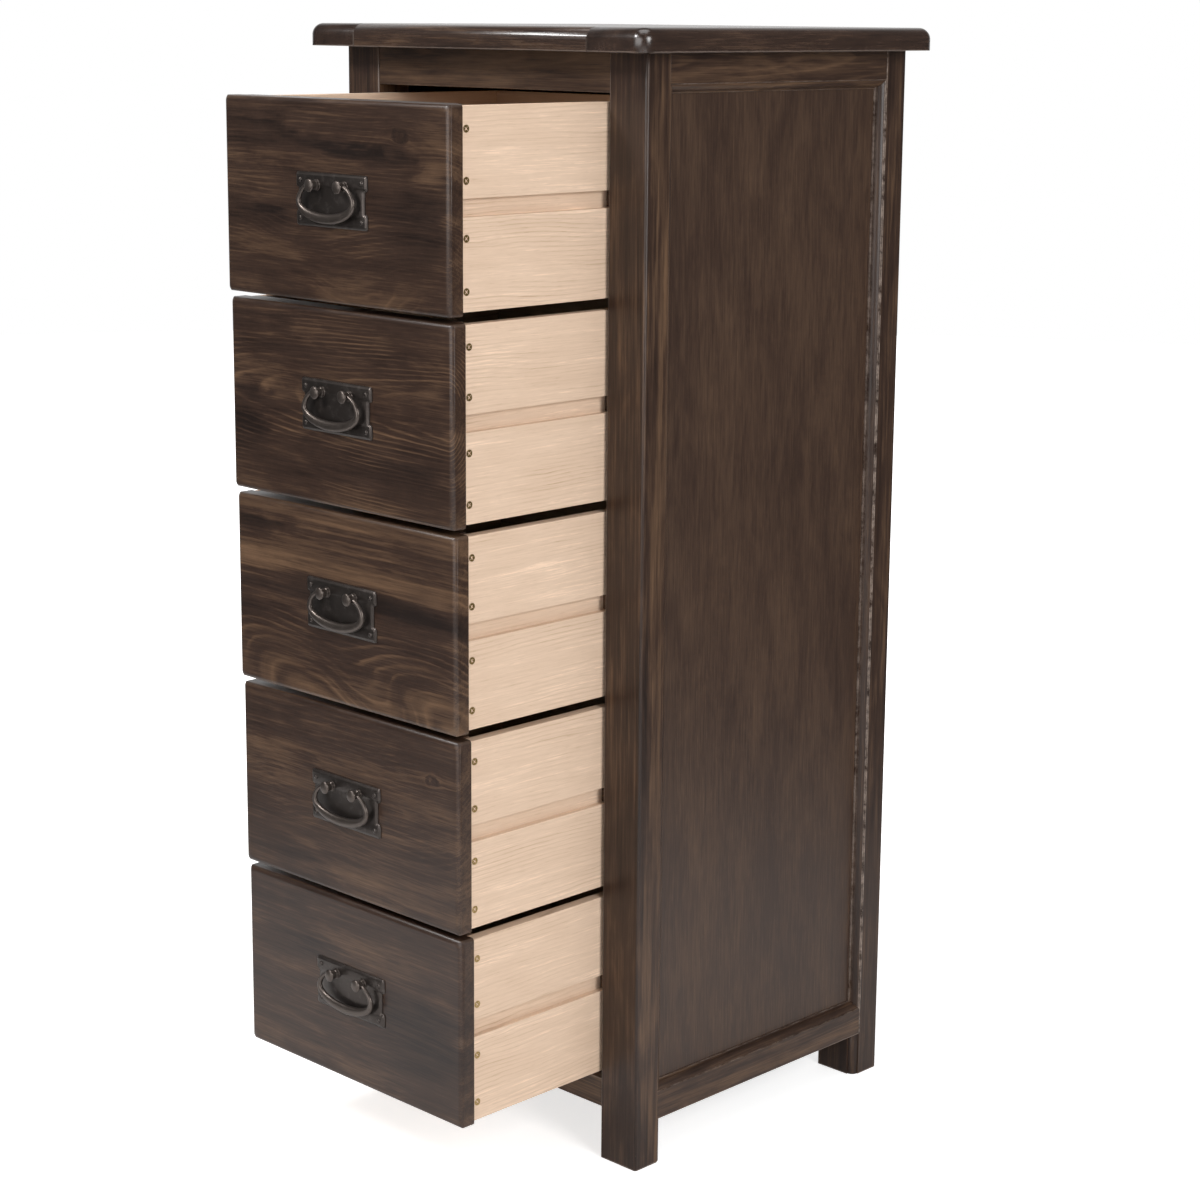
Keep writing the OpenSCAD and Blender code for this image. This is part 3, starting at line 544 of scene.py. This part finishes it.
class TALLBOY_OT_top(bpy.types.Operator):
    """Field and end boards of the top"""
    bl_idname = "tallboy.top"
    bl_label = "Top"

    def execute(self, context):
        wood = context.scene.tallboy_wood
        field = Grain((0.03, 0.05), 0.04, 5 * MM, 22 * MM, level=0.36)
        stained("top_board", "top", (0.9, 0.05, TOP_Z), field, wood, roughness=0.18, gloss=0.8)
        for side, x in (("left", -END_BOARD_X), ("right", END_BOARD_X)):
            stained(f"top_end_{side}", "top_end", (x * 5, x, TOP_Z),
                    Grain((0.02, 0.04), 0.03, 4 * MM, 14 * MM, lines=0.12, bands=0.14, cloud=0.36,
                          streak=0.14, level=0.22), wood, roughness=0.18, gloss=0.8)
        ease(["top_board", "top_end_left", "top_end_right"], 0.4 * MM)
        return {"FINISHED"}


FRONT_GRAIN = {
    1: Grain((-0.150, 0.050), 0.10, 4.4 * MM, 18 * MM, 12 * MM, lines=0.26, bands=0.24, cloud=0.42,
             streak=0.24, level=0.345, waves=(50 * MM, 0.34, 0.09, 0.04), knots=((0.098, 0.066, 0.0045),),
             flames=((-0.030, 0.072, 0.150, 0.010, -0.10, -0.20), (0.050, 0.058, 0.080, 0.008, -0.12, -0.26),
                     (0.140, 0.064, 0.050, 0.034, 0.0, 0.26), (-0.020, 0.044, 0.120, 0.012, -0.08, 0.12),
                     (-0.105, -0.006, 0.070, 0.012, -0.05, -0.22),
                     (-0.110, -0.034, 0.090, 0.016, -0.10, 0.16),
                     (0.120, -0.004, 0.070, 0.040, 0.0, -0.16), (0.000, -0.070, 0.190, 0.024, 0.0, 0.12))),
    2: Grain((0.010, 0.040), -0.06, 3.4 * MM, 14 * MM, 7 * MM, lines=0.62, bands=0.14, cloud=0.44,
             level=0.335,
             flames=((0.000, 0.034, 0.230, 0.024, -0.06, 0.14), (-0.120, 0.018, 0.050, 0.012, 0.0, -0.20),
                     (0.135, 0.062, 0.050, 0.028, 0.0, 0.16), (-0.145, -0.024, 0.050, 0.028, 0.0, -0.20),
                     (0.080, -0.040, 0.130, 0.018, -0.05, -0.14), (-0.020, -0.078, 0.190, 0.018, 0.0, 0.10))),
    3: Grain((-0.125, 0.052), 0.0, 8.0 * MM, 8 * MM, 9 * MM, lines=0.46, bands=0.80, cloud=0.32, level=0.42,
             waves=(50 * MM, 0.23, -0.16, 0.010),
             flames=((-0.095, 0.058, 0.090, 0.020, 0.05, 0.16), (-0.140, 0.078, 0.050, 0.018, 0.0, -0.20),
                     (0.060, 0.030, 0.130, 0.014, -0.05, -0.16), (-0.050, 0.008, 0.130, 0.012, 0.0, 0.12),
                     (0.090, -0.066, 0.090, 0.016, 0.1, 0.12))),
    4: Grain((0.120, 0.055), 0.08, 4.6 * MM, 18 * MM, 14 * MM, lines=0.22, bands=0.28, cloud=0.34,
             level=0.41, waves=(40 * MM, 0.27, 0.06, 0.06), knots=((0.128, 0.052, 0.004),),
             flames=((-0.085, 0.050, 0.085, 0.022, -0.15, 0.12), (-0.045, 0.038, 0.070, 0.010, -0.2, -0.16),
                     (0.100, 0.030, 0.090, 0.020, 0.0, 0.10), (-0.130, -0.060, 0.070, 0.030, 0.0, -0.14),
                     (0.050, -0.060, 0.130, 0.020, 0.05, 0.10))),
    5: Grain((0.140, 0.060), 0.06, 5.0 * MM, 20 * MM, 16 * MM, lines=0.15, bands=0.22, cloud=0.34,
             level=0.375, waves=(40 * MM, 0.31, -0.10, 0.06),
             flames=((-0.090, 0.044, 0.080, 0.024, 0.1, -0.16), (0.040, 0.060, 0.130, 0.018, 0.0, 0.10),
                     (0.110, -0.010, 0.110, 0.060, 0.0, -0.22), (-0.060, -0.070, 0.130, 0.018, 0.0, 0.10))),
}


class TALLBOY_OT_fronts(bpy.types.Operator):
    """The five drawer fronts, each sawn from its own place in the log"""
    bl_idname = "tallboy.fronts"
    bl_label = "Drawer fronts"

    def execute(self, context):
        wood = context.scene.tallboy_wood
        for i, grain in FRONT_GRAIN.items():
            low, high = FRONTS[i]
            # A faint light rim along the edges: a little rubbed stain and a little painted highlight on the
            # round-over.
            stained(f"drawer_front_{i}", "X", (0.0, (low[2] + high[2]) / 2, low[1]), grain, wood,
                    (2.0 * MM, 3.4 * MM), 0.08, roughness=0.26)
        ease([f"drawer_front_{i}" for i in DRAWERS], 0.3 * MM)
        return {"FINISHED"}


class TALLBOY_OT_boxes(bpy.types.Operator):
    """Sides, backs and bottoms of the drawers in bare wood"""
    bl_idname = "tallboy.boxes"
    bl_label = "Drawer boxes"

    def execute(self, context):
        wood = context.scene.tallboy_wood
        for i in DRAWERS:
            z = FRONTS[i][0][2]
            side = Grain((-0.10, 0.05), 0.05, 4.4 * MM, 30 * MM, 8 * MM, lines=-0.56, bands=0.18, cloud=0.30,
                         streak=0.20, fibre=0.38, pores=-0.20, level=0.725)
            bare(f"drawer_sides_{i}", "Y", (0.37 * i, z, 0.16), side, wood)
            back = Grain((0.05, 0.05), 0.05, 5.2 * MM, 20 * MM, lines=-0.5, fibre=0.36, cloud=0.26,
                         level=0.72)
            bare(f"drawer_back_{i}", "X", (0.41 * i, z, 0.1), back, wood)
            ply = Grain((0.02, 0.4), 0.02, 7 * MM, 30 * MM, lines=-0.2, bands=0.1, cloud=0.3, level=0.72)
            bare(f"drawer_bottom_{i}", "top", (0.6 * i, 0.1, z), ply, wood)
        ease([f"drawer_{k}_{i}" for k in ("sides", "back") for i in DRAWERS], 0.5 * MM)
        return {"FINISHED"}


POST_X = 20.5 * MM
PIVOT_OUT = 8.6 * MM
PIN_R = 1.5 * MM
BAIL_W, BAIL_DROP, BAIL_CENTRE_DROP = 85.5 * MM, 36 * MM, 15.48 * MM
BAIL_DEEP = 3.1 * MM
PIVOT_UNDER_BAIL_TOP = 1.995 * MM


def pivot_of(i):
    """Middle of the line between a drawer's two pivots."""
    low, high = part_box(f"bail_{i}")
    return 0.0, FRONTS[i][0][1] - PIVOT_OUT, high[2] - PIVOT_UNDER_BAIL_TOP


def tube_points(centres, across, half, deep, sides):
    """A tube round a path in the XZ plane: at each turn t, centre + across * half * cos(t), and
    half depth * sin(t) along Y."""
    turn = np.linspace(0, 2 * np.pi, sides, endpoint=False)
    ring = centres[:, None, :] + across[:, None, :] * (half[:, None] * np.cos(turn))[..., None]
    ring[..., 1] += deep[:, None] * np.sin(turn)
    return ring


def bail_points(m, pivot, rings=96, sides=24, cap=6):
    """The bow of a bail. Its middle line is an oval open at the top, its half thickness swells
    towards the bottom as ((1 - sin a) / 2) to the power 1.5, and each end closes in a half ball."""
    end, middle = m.bail_end, m.bail_middle
    half_w = BAIL_W / 2 - (end + (middle - end) * 0.35)
    stop = math.acos((POST_X + m.post_shank + 0.4 * MM + end) / half_w)
    high, low = BAIL_CENTRE_DROP / math.sin(stop), BAIL_DROP - BAIL_CENTRE_DROP - middle
    a = np.linspace(stop, -math.pi - stop, rings)
    tall = np.where(np.sin(a) > 0, high, low)
    centre = np.stack([half_w * np.cos(a), 0 * a, tall * np.sin(a) - BAIL_CENTRE_DROP], -1)
    out = np.stack([tall * np.cos(a), 0 * a, half_w * np.sin(a)], -1)
    out /= np.linalg.norm(out, axis=1, keepdims=True)
    swell = ((1 - np.sin(a)) / 2) ** 1.5
    half, deep = end + (middle - end) * swell, end + (BAIL_DEEP - end) * swell
    rise = np.linspace(np.pi / 2, 0, cap, endpoint=False)
    way = np.stack([out[:, 2], 0 * a, -out[:, 0]], -1)
    first = centre[0] - way[0] * (end * np.sin(rise))[:, None]
    last = centre[-1] + way[-1] * (end * np.sin(rise[::-1]))[:, None]
    centres = np.concatenate([first, centre, last])
    across = np.concatenate([np.repeat(out[:1], cap, 0), out, np.repeat(out[-1:], cap, 0)])
    shrink = np.cos(rise)
    half = np.concatenate([half[0] * shrink, half, half[-1] * shrink[::-1]])
    deep = np.concatenate([deep[0] * shrink, deep, deep[-1] * shrink[::-1]])
    return tube_points(centres + np.array(pivot), across, half, deep, sides)


def turned_points(profile, axis_point, sides=40):
    """A turned piece about an axis along Y: each (radius, way out, six-sided) of the profile is
    carried once round, and a six-sided radius grows to the corners of a nut."""
    radius, out, nut = (np.array(c, float) for c in zip(*profile))
    turn = np.linspace(0, 2 * np.pi, sides, endpoint=False)
    corner = math.cos(math.pi / 6) / np.cos((turn + np.pi / 6) % (np.pi / 3) - np.pi / 6)
    r = radius[:, None] * np.where(nut[:, None] > 0, corner, 1.0)
    x, z = r * np.cos(turn), r * np.sin(turn)
    y = np.repeat(-out[:, None], sides, 1)
    return np.stack([x, y, z], -1) + np.array(axis_point)


def post_profile(m):
    """Nut, washer, stud, collar, shank with a groove, and a head with a round rim and a low dome, as
    (radius, way out from the drawer's face, six-sided). The rows below are in millimetres."""
    shank, head = m.post_shank / MM, m.post_head / MM
    rows = [(0, -32.1, 0), (1.5, -32.1, 0), (2, -31.6, 0), (2, -30.1, 0), (4, -30.1, 1), (4, -26.9, 1),
            (4.8, -26.9, 0), (4.8, -26.0, 0), (2, -26.0, 0), (2, 2.4, 0), (shank + 0.9, 2.4, 0),
            (shank + 1.0, 2.8, 0), (shank + 0.7, 3.3, 0), (shank, 3.5, 0), (shank, 4.9, 0),
            (shank - 0.5, 5.3, 0), (shank - 0.5, 5.8, 0), (shank, 6.2, 0), (shank, 10.4, 0),
            (shank - 0.3, 10.8, 0), (shank - 0.1, 11.3, 0), (head - 0.6, 11.4, 0), (head - 0.1, 11.7, 0),
            (head, 12.0, 0), (head - 0.1, 12.3, 0), (head - 0.4, 12.65, 0), (head - 0.9, 12.95, 0),
            (head - 1.6, 13.2, 0), (head - 2.5, 13.45, 0), (head - 3.7, 13.7, 0), (head - 5.0, 13.87, 0),
            (0, 13.92, 0)]
    return [(max(r, 0) * MM, y * MM, n) for r, y, n in rows]


def rod_points(x0, x1, y, z, radius, sides=16):
    """A plain rod along X with closed ends."""
    x = np.array([x0, x0, x1, x1])
    r = np.array([0, radius, radius, 0])
    turn = np.linspace(0, 2 * np.pi, sides, endpoint=False)
    return np.stack([np.repeat(x[:, None], sides, 1), y + r[:, None] * np.cos(turn),
                     z + r[:, None] * np.sin(turn)], -1)


EAR_H, EAR_OUT, EAR_ROUND, WAIST_ROUND = 15 * MM, 4 * MM, 3.2 * MM, 0.7 * MM
PLATE_T = 2.4 * MM
TACK_R, TACK_RISE, TACK_L = 2.5 * MM, 1.5 * MM, 13 * MM


def plate_outline(half_w, half_h, inset, steps=7):
    """Outline of a plate with four ears, moved inward by inset. Every corner is a quarter turn:
    an ear's loses the inset from its radius, and a waist's gains it."""
    ear, waist = half_w - inset, half_w - EAR_OUT - inset
    low, high = half_h - inset, half_h - EAR_H + inset
    corners = np.array([(ear, -low), (ear, -high), (waist, -high), (waist, high), (ear, high), (ear, low)])
    begin = np.radians([-90, 0, 270, 180, -90, 0])
    turn = np.array([1, 1, -1, -1, 1, 1]) * np.pi / 2
    outward = turn > 0
    radius = np.where(outward, max(EAR_ROUND - inset, 0.3 * MM), WAIST_ROUND + inset)
    side = np.array([(-1, 1), (-1, -1), (1, 1), (1, -1), (-1, 1), (-1, -1)])
    centre = corners + side * radius[:, None]
    angle = begin[:, None] + turn[:, None] * np.linspace(0, 1, steps)
    right = centre[:, None, :] + radius[:, None, None] * np.stack([np.cos(angle), np.sin(angle)], -1)
    right = right.reshape(-1, 2)
    return np.concatenate([right, -right])


def plate_mesh(i, name):
    """A plate as rings of its outline at (inset, height) steps, closed by its face and its back, with
    four dome-headed tacks turned like the posts."""
    low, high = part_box(f"handle_plate_{i}")
    half_w, half_h = (high[0] - low[0]) / 2, (high[2] - low[2]) / 2
    middle, face = (low[2] + high[2]) / 2, FRONTS[i][0][1]
    steps = np.array([(0, 0), (0, 0.7), (0.2, 0.95), (1.4, 1.7), (2.4, 2.25), (2.8, 2.4)]) * MM
    rings = [plate_outline(half_w, half_h, inset) for inset, _ in steps]
    grid = np.stack([np.column_stack([r[:, 0], np.full(len(r), face - rise), middle + r[:, 1]])
                     for r, (_, rise) in zip(rings, steps)])
    rise = np.linspace(0, np.pi / 2, 6)
    dome = [(TACK_R * math.cos(a), PLATE_T + TACK_RISE * math.sin(a), 0) for a in rise]
    nail = [(0, -TACK_L, 0), (TACK_R / 2, -TACK_L * 0.9, 0), (TACK_R / 2, PLATE_T, 0)]
    tack_x, tack_z = half_w - EAR_H / 2, half_h - EAR_H / 2
    tacks = [turned_points(nail + dome, (sx * tack_x, face, middle + sz * tack_z), 20)
             for sx in (-1, 1) for sz in (-1, 1)]
    return closed_tubes(name, tacks, capped=[grid])


def closed_tubes(name, grids, capped=()):
    """One mesh of several grids of rings, each closed round. A grid ends closed where its last ring
    is drawn in to a point, and a capped one is closed by a flat face at both ends."""
    points, faces, start = [], [], 0
    for k, grid in enumerate((*grids, *capped)):
        rows, cols = grid.shape[:2]
        index = start + np.arange(rows * cols).reshape(rows, cols)
        around = np.concatenate([index, index[:, :1]], 1)
        quads = np.stack([around[:-1, :-1], around[1:, :-1], around[1:, 1:], around[:-1, 1:]], -1)
        faces += quads.reshape(-1, 4).tolist()
        if k >= len(grids):
            faces += [index[0].tolist(), index[-1].tolist()]
        points.append(grid.reshape(-1, 3))
        start += rows * cols
    return mesh_object(name, np.concatenate(points), faces)


def mesh_object(name, points, faces, merge=0.001 * MM, angle=35):
    """A new object at the origin, with doubles merged, faces outward and smooth up to an angle."""
    mesh = bpy.data.meshes.new(name)
    mesh.from_pydata(points.tolist(), [], faces)
    work = bmesh.new()
    work.from_mesh(mesh)
    bmesh.ops.remove_doubles(work, verts=work.verts, dist=merge)
    bmesh.ops.recalc_face_normals(work, faces=work.faces)
    work.to_mesh(mesh)
    work.free()
    mesh.polygons.foreach_set("use_smooth", np.ones(len(mesh.polygons), bool))
    mesh.set_sharp_from_angle(angle=math.radians(angle))
    obj = bpy.data.objects.new(name, mesh)
    bpy.context.scene.collection.objects.link(obj)
    return obj


class TALLBOY_OT_handles(bpy.types.Operator):
    """Plates, posts and bails of the handles, and the screws"""
    bl_idname = "tallboy.handles"
    bl_label = "Handles and screws"

    def execute(self, context):
        m = context.scene.tallboy_metal
        dark = bronze("antique_bronze", tuple(m.bronze), tuple(m.bronze_rubbed))
        # Bails and posts get the lighter bronze: the polish of hands and a painted sheen.
        handled_and_sheen = bronze("handled_bronze", tuple(m.bronze_polish_and_sheen), tuple(m.bronze_rubbed), 0.10)
        yellow = brass("screw_brass", tuple(m.brass))
        for i in DRAWERS:
            self.join(plate_mesh(i, f"handle_plate_{i}_cast"), f"handle_plate_{i}", f"drawer_{i}", dark)
            give(f"drawer_screws_{i}", yellow)
            self.bail(i, m, handled_and_sheen)
            self.posts(i, m, handled_and_sheen)
        give("carcass_screws", yellow)
        return {"FINISHED"}

    def bail(self, i, m, material):
        x, y, z = pivot_of(i)
        grids = [bail_points(m, (x, y, z))]
        for side in (-1, 1):
            inner = POST_X - m.post_shank + 0.4 * MM
            outer = POST_X + m.post_shank + 0.4 * MM + m.bail_end
            grids.append(rod_points(side * inner, side * outer, y, z, PIN_R))
        self.join(closed_tubes(f"bail_{i}_bow", grids), f"bail_{i}", f"bail_{i}", material)

    def posts(self, i, m, material):
        z = pivot_of(i)[2]
        face = FRONTS[i][0][1]
        grids = [turned_points(post_profile(m), (side * POST_X, face, z)) for side in (-1, 1)]
        pair = closed_tubes(f"handle_posts_{i}_turned", grids)
        self.join(pair, f"handle_posts_{i}", f"drawer_{i}", material)

    def join(self, obj, node, body, material):
        obj.data.materials.append(material)
        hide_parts(node)
        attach(obj, body)


def area_light(name, place, target, size, power):
    data = bpy.data.lights.new(name, "AREA")
    data.shape, data.size, data.size_y, data.energy = "RECTANGLE", size[0], size[1], power
    obj = bpy.data.objects.new(name, data)
    bpy.context.scene.collection.objects.link(obj)
    obj.location = place
    away = np.array(place) - np.array(target)
    away = away / np.linalg.norm(away)
    obj.rotation_euler = (math.acos(away[2]), 0.0, math.atan2(away[0], -away[1]))


LAMPS = {
    "key": ((-1.3, -2.9, 3.1), (0, -0.2, 0.7), (0.8, 0.8)),
    "side": ((3.2, -0.7, 1.9), (0, 0, 0.6), (1.2, 1.5)),
    "over": ((0.2, -0.2, 3.4), (0, 0, 0), (1.8, 1.8)),
}
FLOOR_R, FLOOR_DROP = 7.0, 0.5 * MM
STRIP_IN, STRIP_OUT, BESIDE_STRIP = 1.0, 1.5, 0.12
WALL_TURN = math.radians(2)


class TALLBOY_OT_stage(bpy.types.Operator):
    """Floor, lamps, world and camera"""
    bl_idname = "tallboy.stage"
    bl_label = "Studio"

    def execute(self, context):
        s = context.scene.tallboy_studio
        self.floor(s)
        self.world(context.scene, s)
        for name, lamp in LAMPS.items():
            area_light(name, *lamp, getattr(s, f"{name}_power"))
        self.camera(context.scene, s)
        context.scene.view_settings.view_transform = "Standard"
        return {"FINISHED"}

    def floor(self, s):
        """A round disc of rings: each ring's points are radius * (cos, sin) of the turn. It is white
        in a strip along the view, darker beside it, and the camera sees a white glow over it."""
        turn = np.linspace(0, 2 * np.pi, 96, endpoint=False)
        r, a = np.meshgrid(np.linspace(0, FLOOR_R, 24), turn, indexing="ij")
        points = np.stack([r * np.cos(a), r * np.sin(a), np.full(r.shape, -FLOOR_DROP)], -1)
        obj = closed_tubes("studio_floor", [points])
        t = Tree("studio_floor")
        x, y, z = t.point()
        sweep = t.blend(t.noise((x, y, z), (3.0, 3.0, 3.0), 3.0), (s.floor_white,) * 3,
                        (s.floor_white * 0.985,) * 3)
        beside = t.math("ABSOLUTE", t.plus(t.times(x, math.cos(s.yaw)), t.times(y, math.sin(s.yaw))))
        colour = t.blend(t.step(beside, STRIP_IN, STRIP_OUT), sweep, (BESIDE_STRIP,) * 3)
        t.links.new(colour, t.shader.inputs["Base Color"])
        t.shader.inputs["Roughness"].default_value = 0.6
        t.shader.inputs["Specular IOR Level"].default_value = 0.2
        far = t.step(t.math("SQRT", t.squares(x, y)), 0.5, 1.7)
        glow = t.add("ShaderNodeEmission", (1, 1, 1, 1), t.plus(0.68, t.times(far, 0.45)))
        none = t.add("ShaderNodeEmission", (0, 0, 0, 1), 0.0)
        picked = t.add("ShaderNodeMixShader", t.add("ShaderNodeLightPath", out=0), none, glow)
        both = t.add("ShaderNodeAddShader", t.shader.outputs[0], picked)
        t.links.new(both, t.nodes["Material Output"].inputs["Surface"])
        obj.data.materials.append(t.material)

    def toward(self, tree, direction, turned, dim, bright):
        """Light that grows from dim to bright as a ray turns to a direction, between two cosines."""
        where = tree.nodes.new("ShaderNodeTexCoord")
        dot = tree.nodes.new("ShaderNodeVectorMath")
        dot.operation = "DOT_PRODUCT"
        dot.inputs[1].default_value = direction
        tree.links.new(where.outputs["Generated"], dot.inputs[0])
        spread = tree.nodes.new("ShaderNodeMapRange")
        for key, value in zip(("From Min", "From Max", "To Min", "To Max"), (*turned, dim, bright)):
            spread.inputs[key].default_value = value
        tree.links.new(dot.outputs["Value"], spread.inputs["Value"])
        return spread.outputs[0]

    def world(self, scene, s):
        """White where the camera looks and even light on all surfaces. What is glossy mirrors a dim
        room, white behind the chest, with one light wall before it."""
        world = bpy.data.worlds.new("studio_world")
        world.use_nodes = True
        scene.world = world
        tree = world.node_tree
        nodes, links = tree.nodes, tree.links
        nodes.clear()
        path = nodes.new("ShaderNodeLightPath")
        mirrored = nodes.new("ShaderNodeMath")
        behind = (-math.sin(s.yaw), math.cos(s.yaw), -0.1)
        before = (math.sin(WALL_TURN), -math.cos(WALL_TURN), 0.0)
        links.new(self.toward(tree, behind, (0.55, 0.9), 0.10, 1.0), mirrored.inputs[0])
        links.new(self.toward(tree, before, (0.86, 0.95), 0.0, 3.4), mirrored.inputs[1])
        glossy, camera = nodes.new("ShaderNodeMix"), nodes.new("ShaderNodeMix")
        links.new(path.outputs["Is Glossy Ray"], glossy.inputs[0])
        glossy.inputs[2].default_value = s.room
        links.new(mirrored.outputs[0], glossy.inputs[3])
        links.new(path.outputs["Is Camera Ray"], camera.inputs[0])
        links.new(glossy.outputs[0], camera.inputs[2])
        camera.inputs[3].default_value = 1.0
        light = nodes.new("ShaderNodeBackground")
        light.inputs[0].default_value = (1, 1, 1, 1)
        links.new(camera.outputs[0], light.inputs[1])
        links.new(light.outputs[0], nodes.new("ShaderNodeOutputWorld").inputs[0])

    def camera(self, scene, s):
        data = bpy.data.cameras.new("camera")
        data.sensor_width, data.lens, data.shift_y = 36.0, s.lens, s.shift
        obj = bpy.data.objects.new("camera", data)
        scene.collection.objects.link(obj)
        obj.location = s.place
        turn = (Matrix.Rotation(s.yaw, 4, "Z") @ Matrix.Rotation(math.pi / 2 - s.pitch, 4, "X")
                @ Matrix.Rotation(s.roll, 4, "Z"))
        obj.rotation_euler = turn.to_euler()
        scene.camera = obj


class TALLBOY_PT_panel(bpy.types.Panel):
    """Buttons for each group of pieces"""
    bl_idname = "TALLBOY_PT_panel"
    bl_label = "Tallboy"
    bl_space_type = "VIEW_3D"
    bl_region_type = "UI"
    bl_category = "Tallboy"

    def draw(self, context):
        for settings in ("tallboy_wood", "tallboy_metal", "tallboy_studio"):
            group = getattr(context.scene, settings)
            for key in group.__annotations__:
                self.layout.prop(group, key)
        for operator in OPERATORS:
            self.layout.operator(operator.bl_idname)


OPERATORS = (TALLBOY_OT_carcass, TALLBOY_OT_top, TALLBOY_OT_fronts, TALLBOY_OT_boxes,
             TALLBOY_OT_handles, TALLBOY_OT_stage)
CLASSES = (WoodSettings, MetalSettings, StudioSettings, *OPERATORS, TALLBOY_PT_panel)


def register():
    for cls in CLASSES:
        bpy.utils.register_class(cls)
    bpy.types.Scene.tallboy_wood = bpy.props.PointerProperty(type=WoodSettings)
    bpy.types.Scene.tallboy_metal = bpy.props.PointerProperty(type=MetalSettings)
    bpy.types.Scene.tallboy_studio = bpy.props.PointerProperty(type=StudioSettings)


def unregister():
    del bpy.types.Scene.tallboy_wood, bpy.types.Scene.tallboy_metal, bpy.types.Scene.tallboy_studio
    for cls in reversed(CLASSES):
        bpy.utils.unregister_class(cls)


def main():
    register()
    bpy.ops.tallboy.carcass()
    bpy.ops.tallboy.top()
    bpy.ops.tallboy.fronts()
    bpy.ops.tallboy.boxes()
    bpy.ops.tallboy.handles()
    bpy.ops.tallboy.stage()


if __name__ == "__main__":
    main()
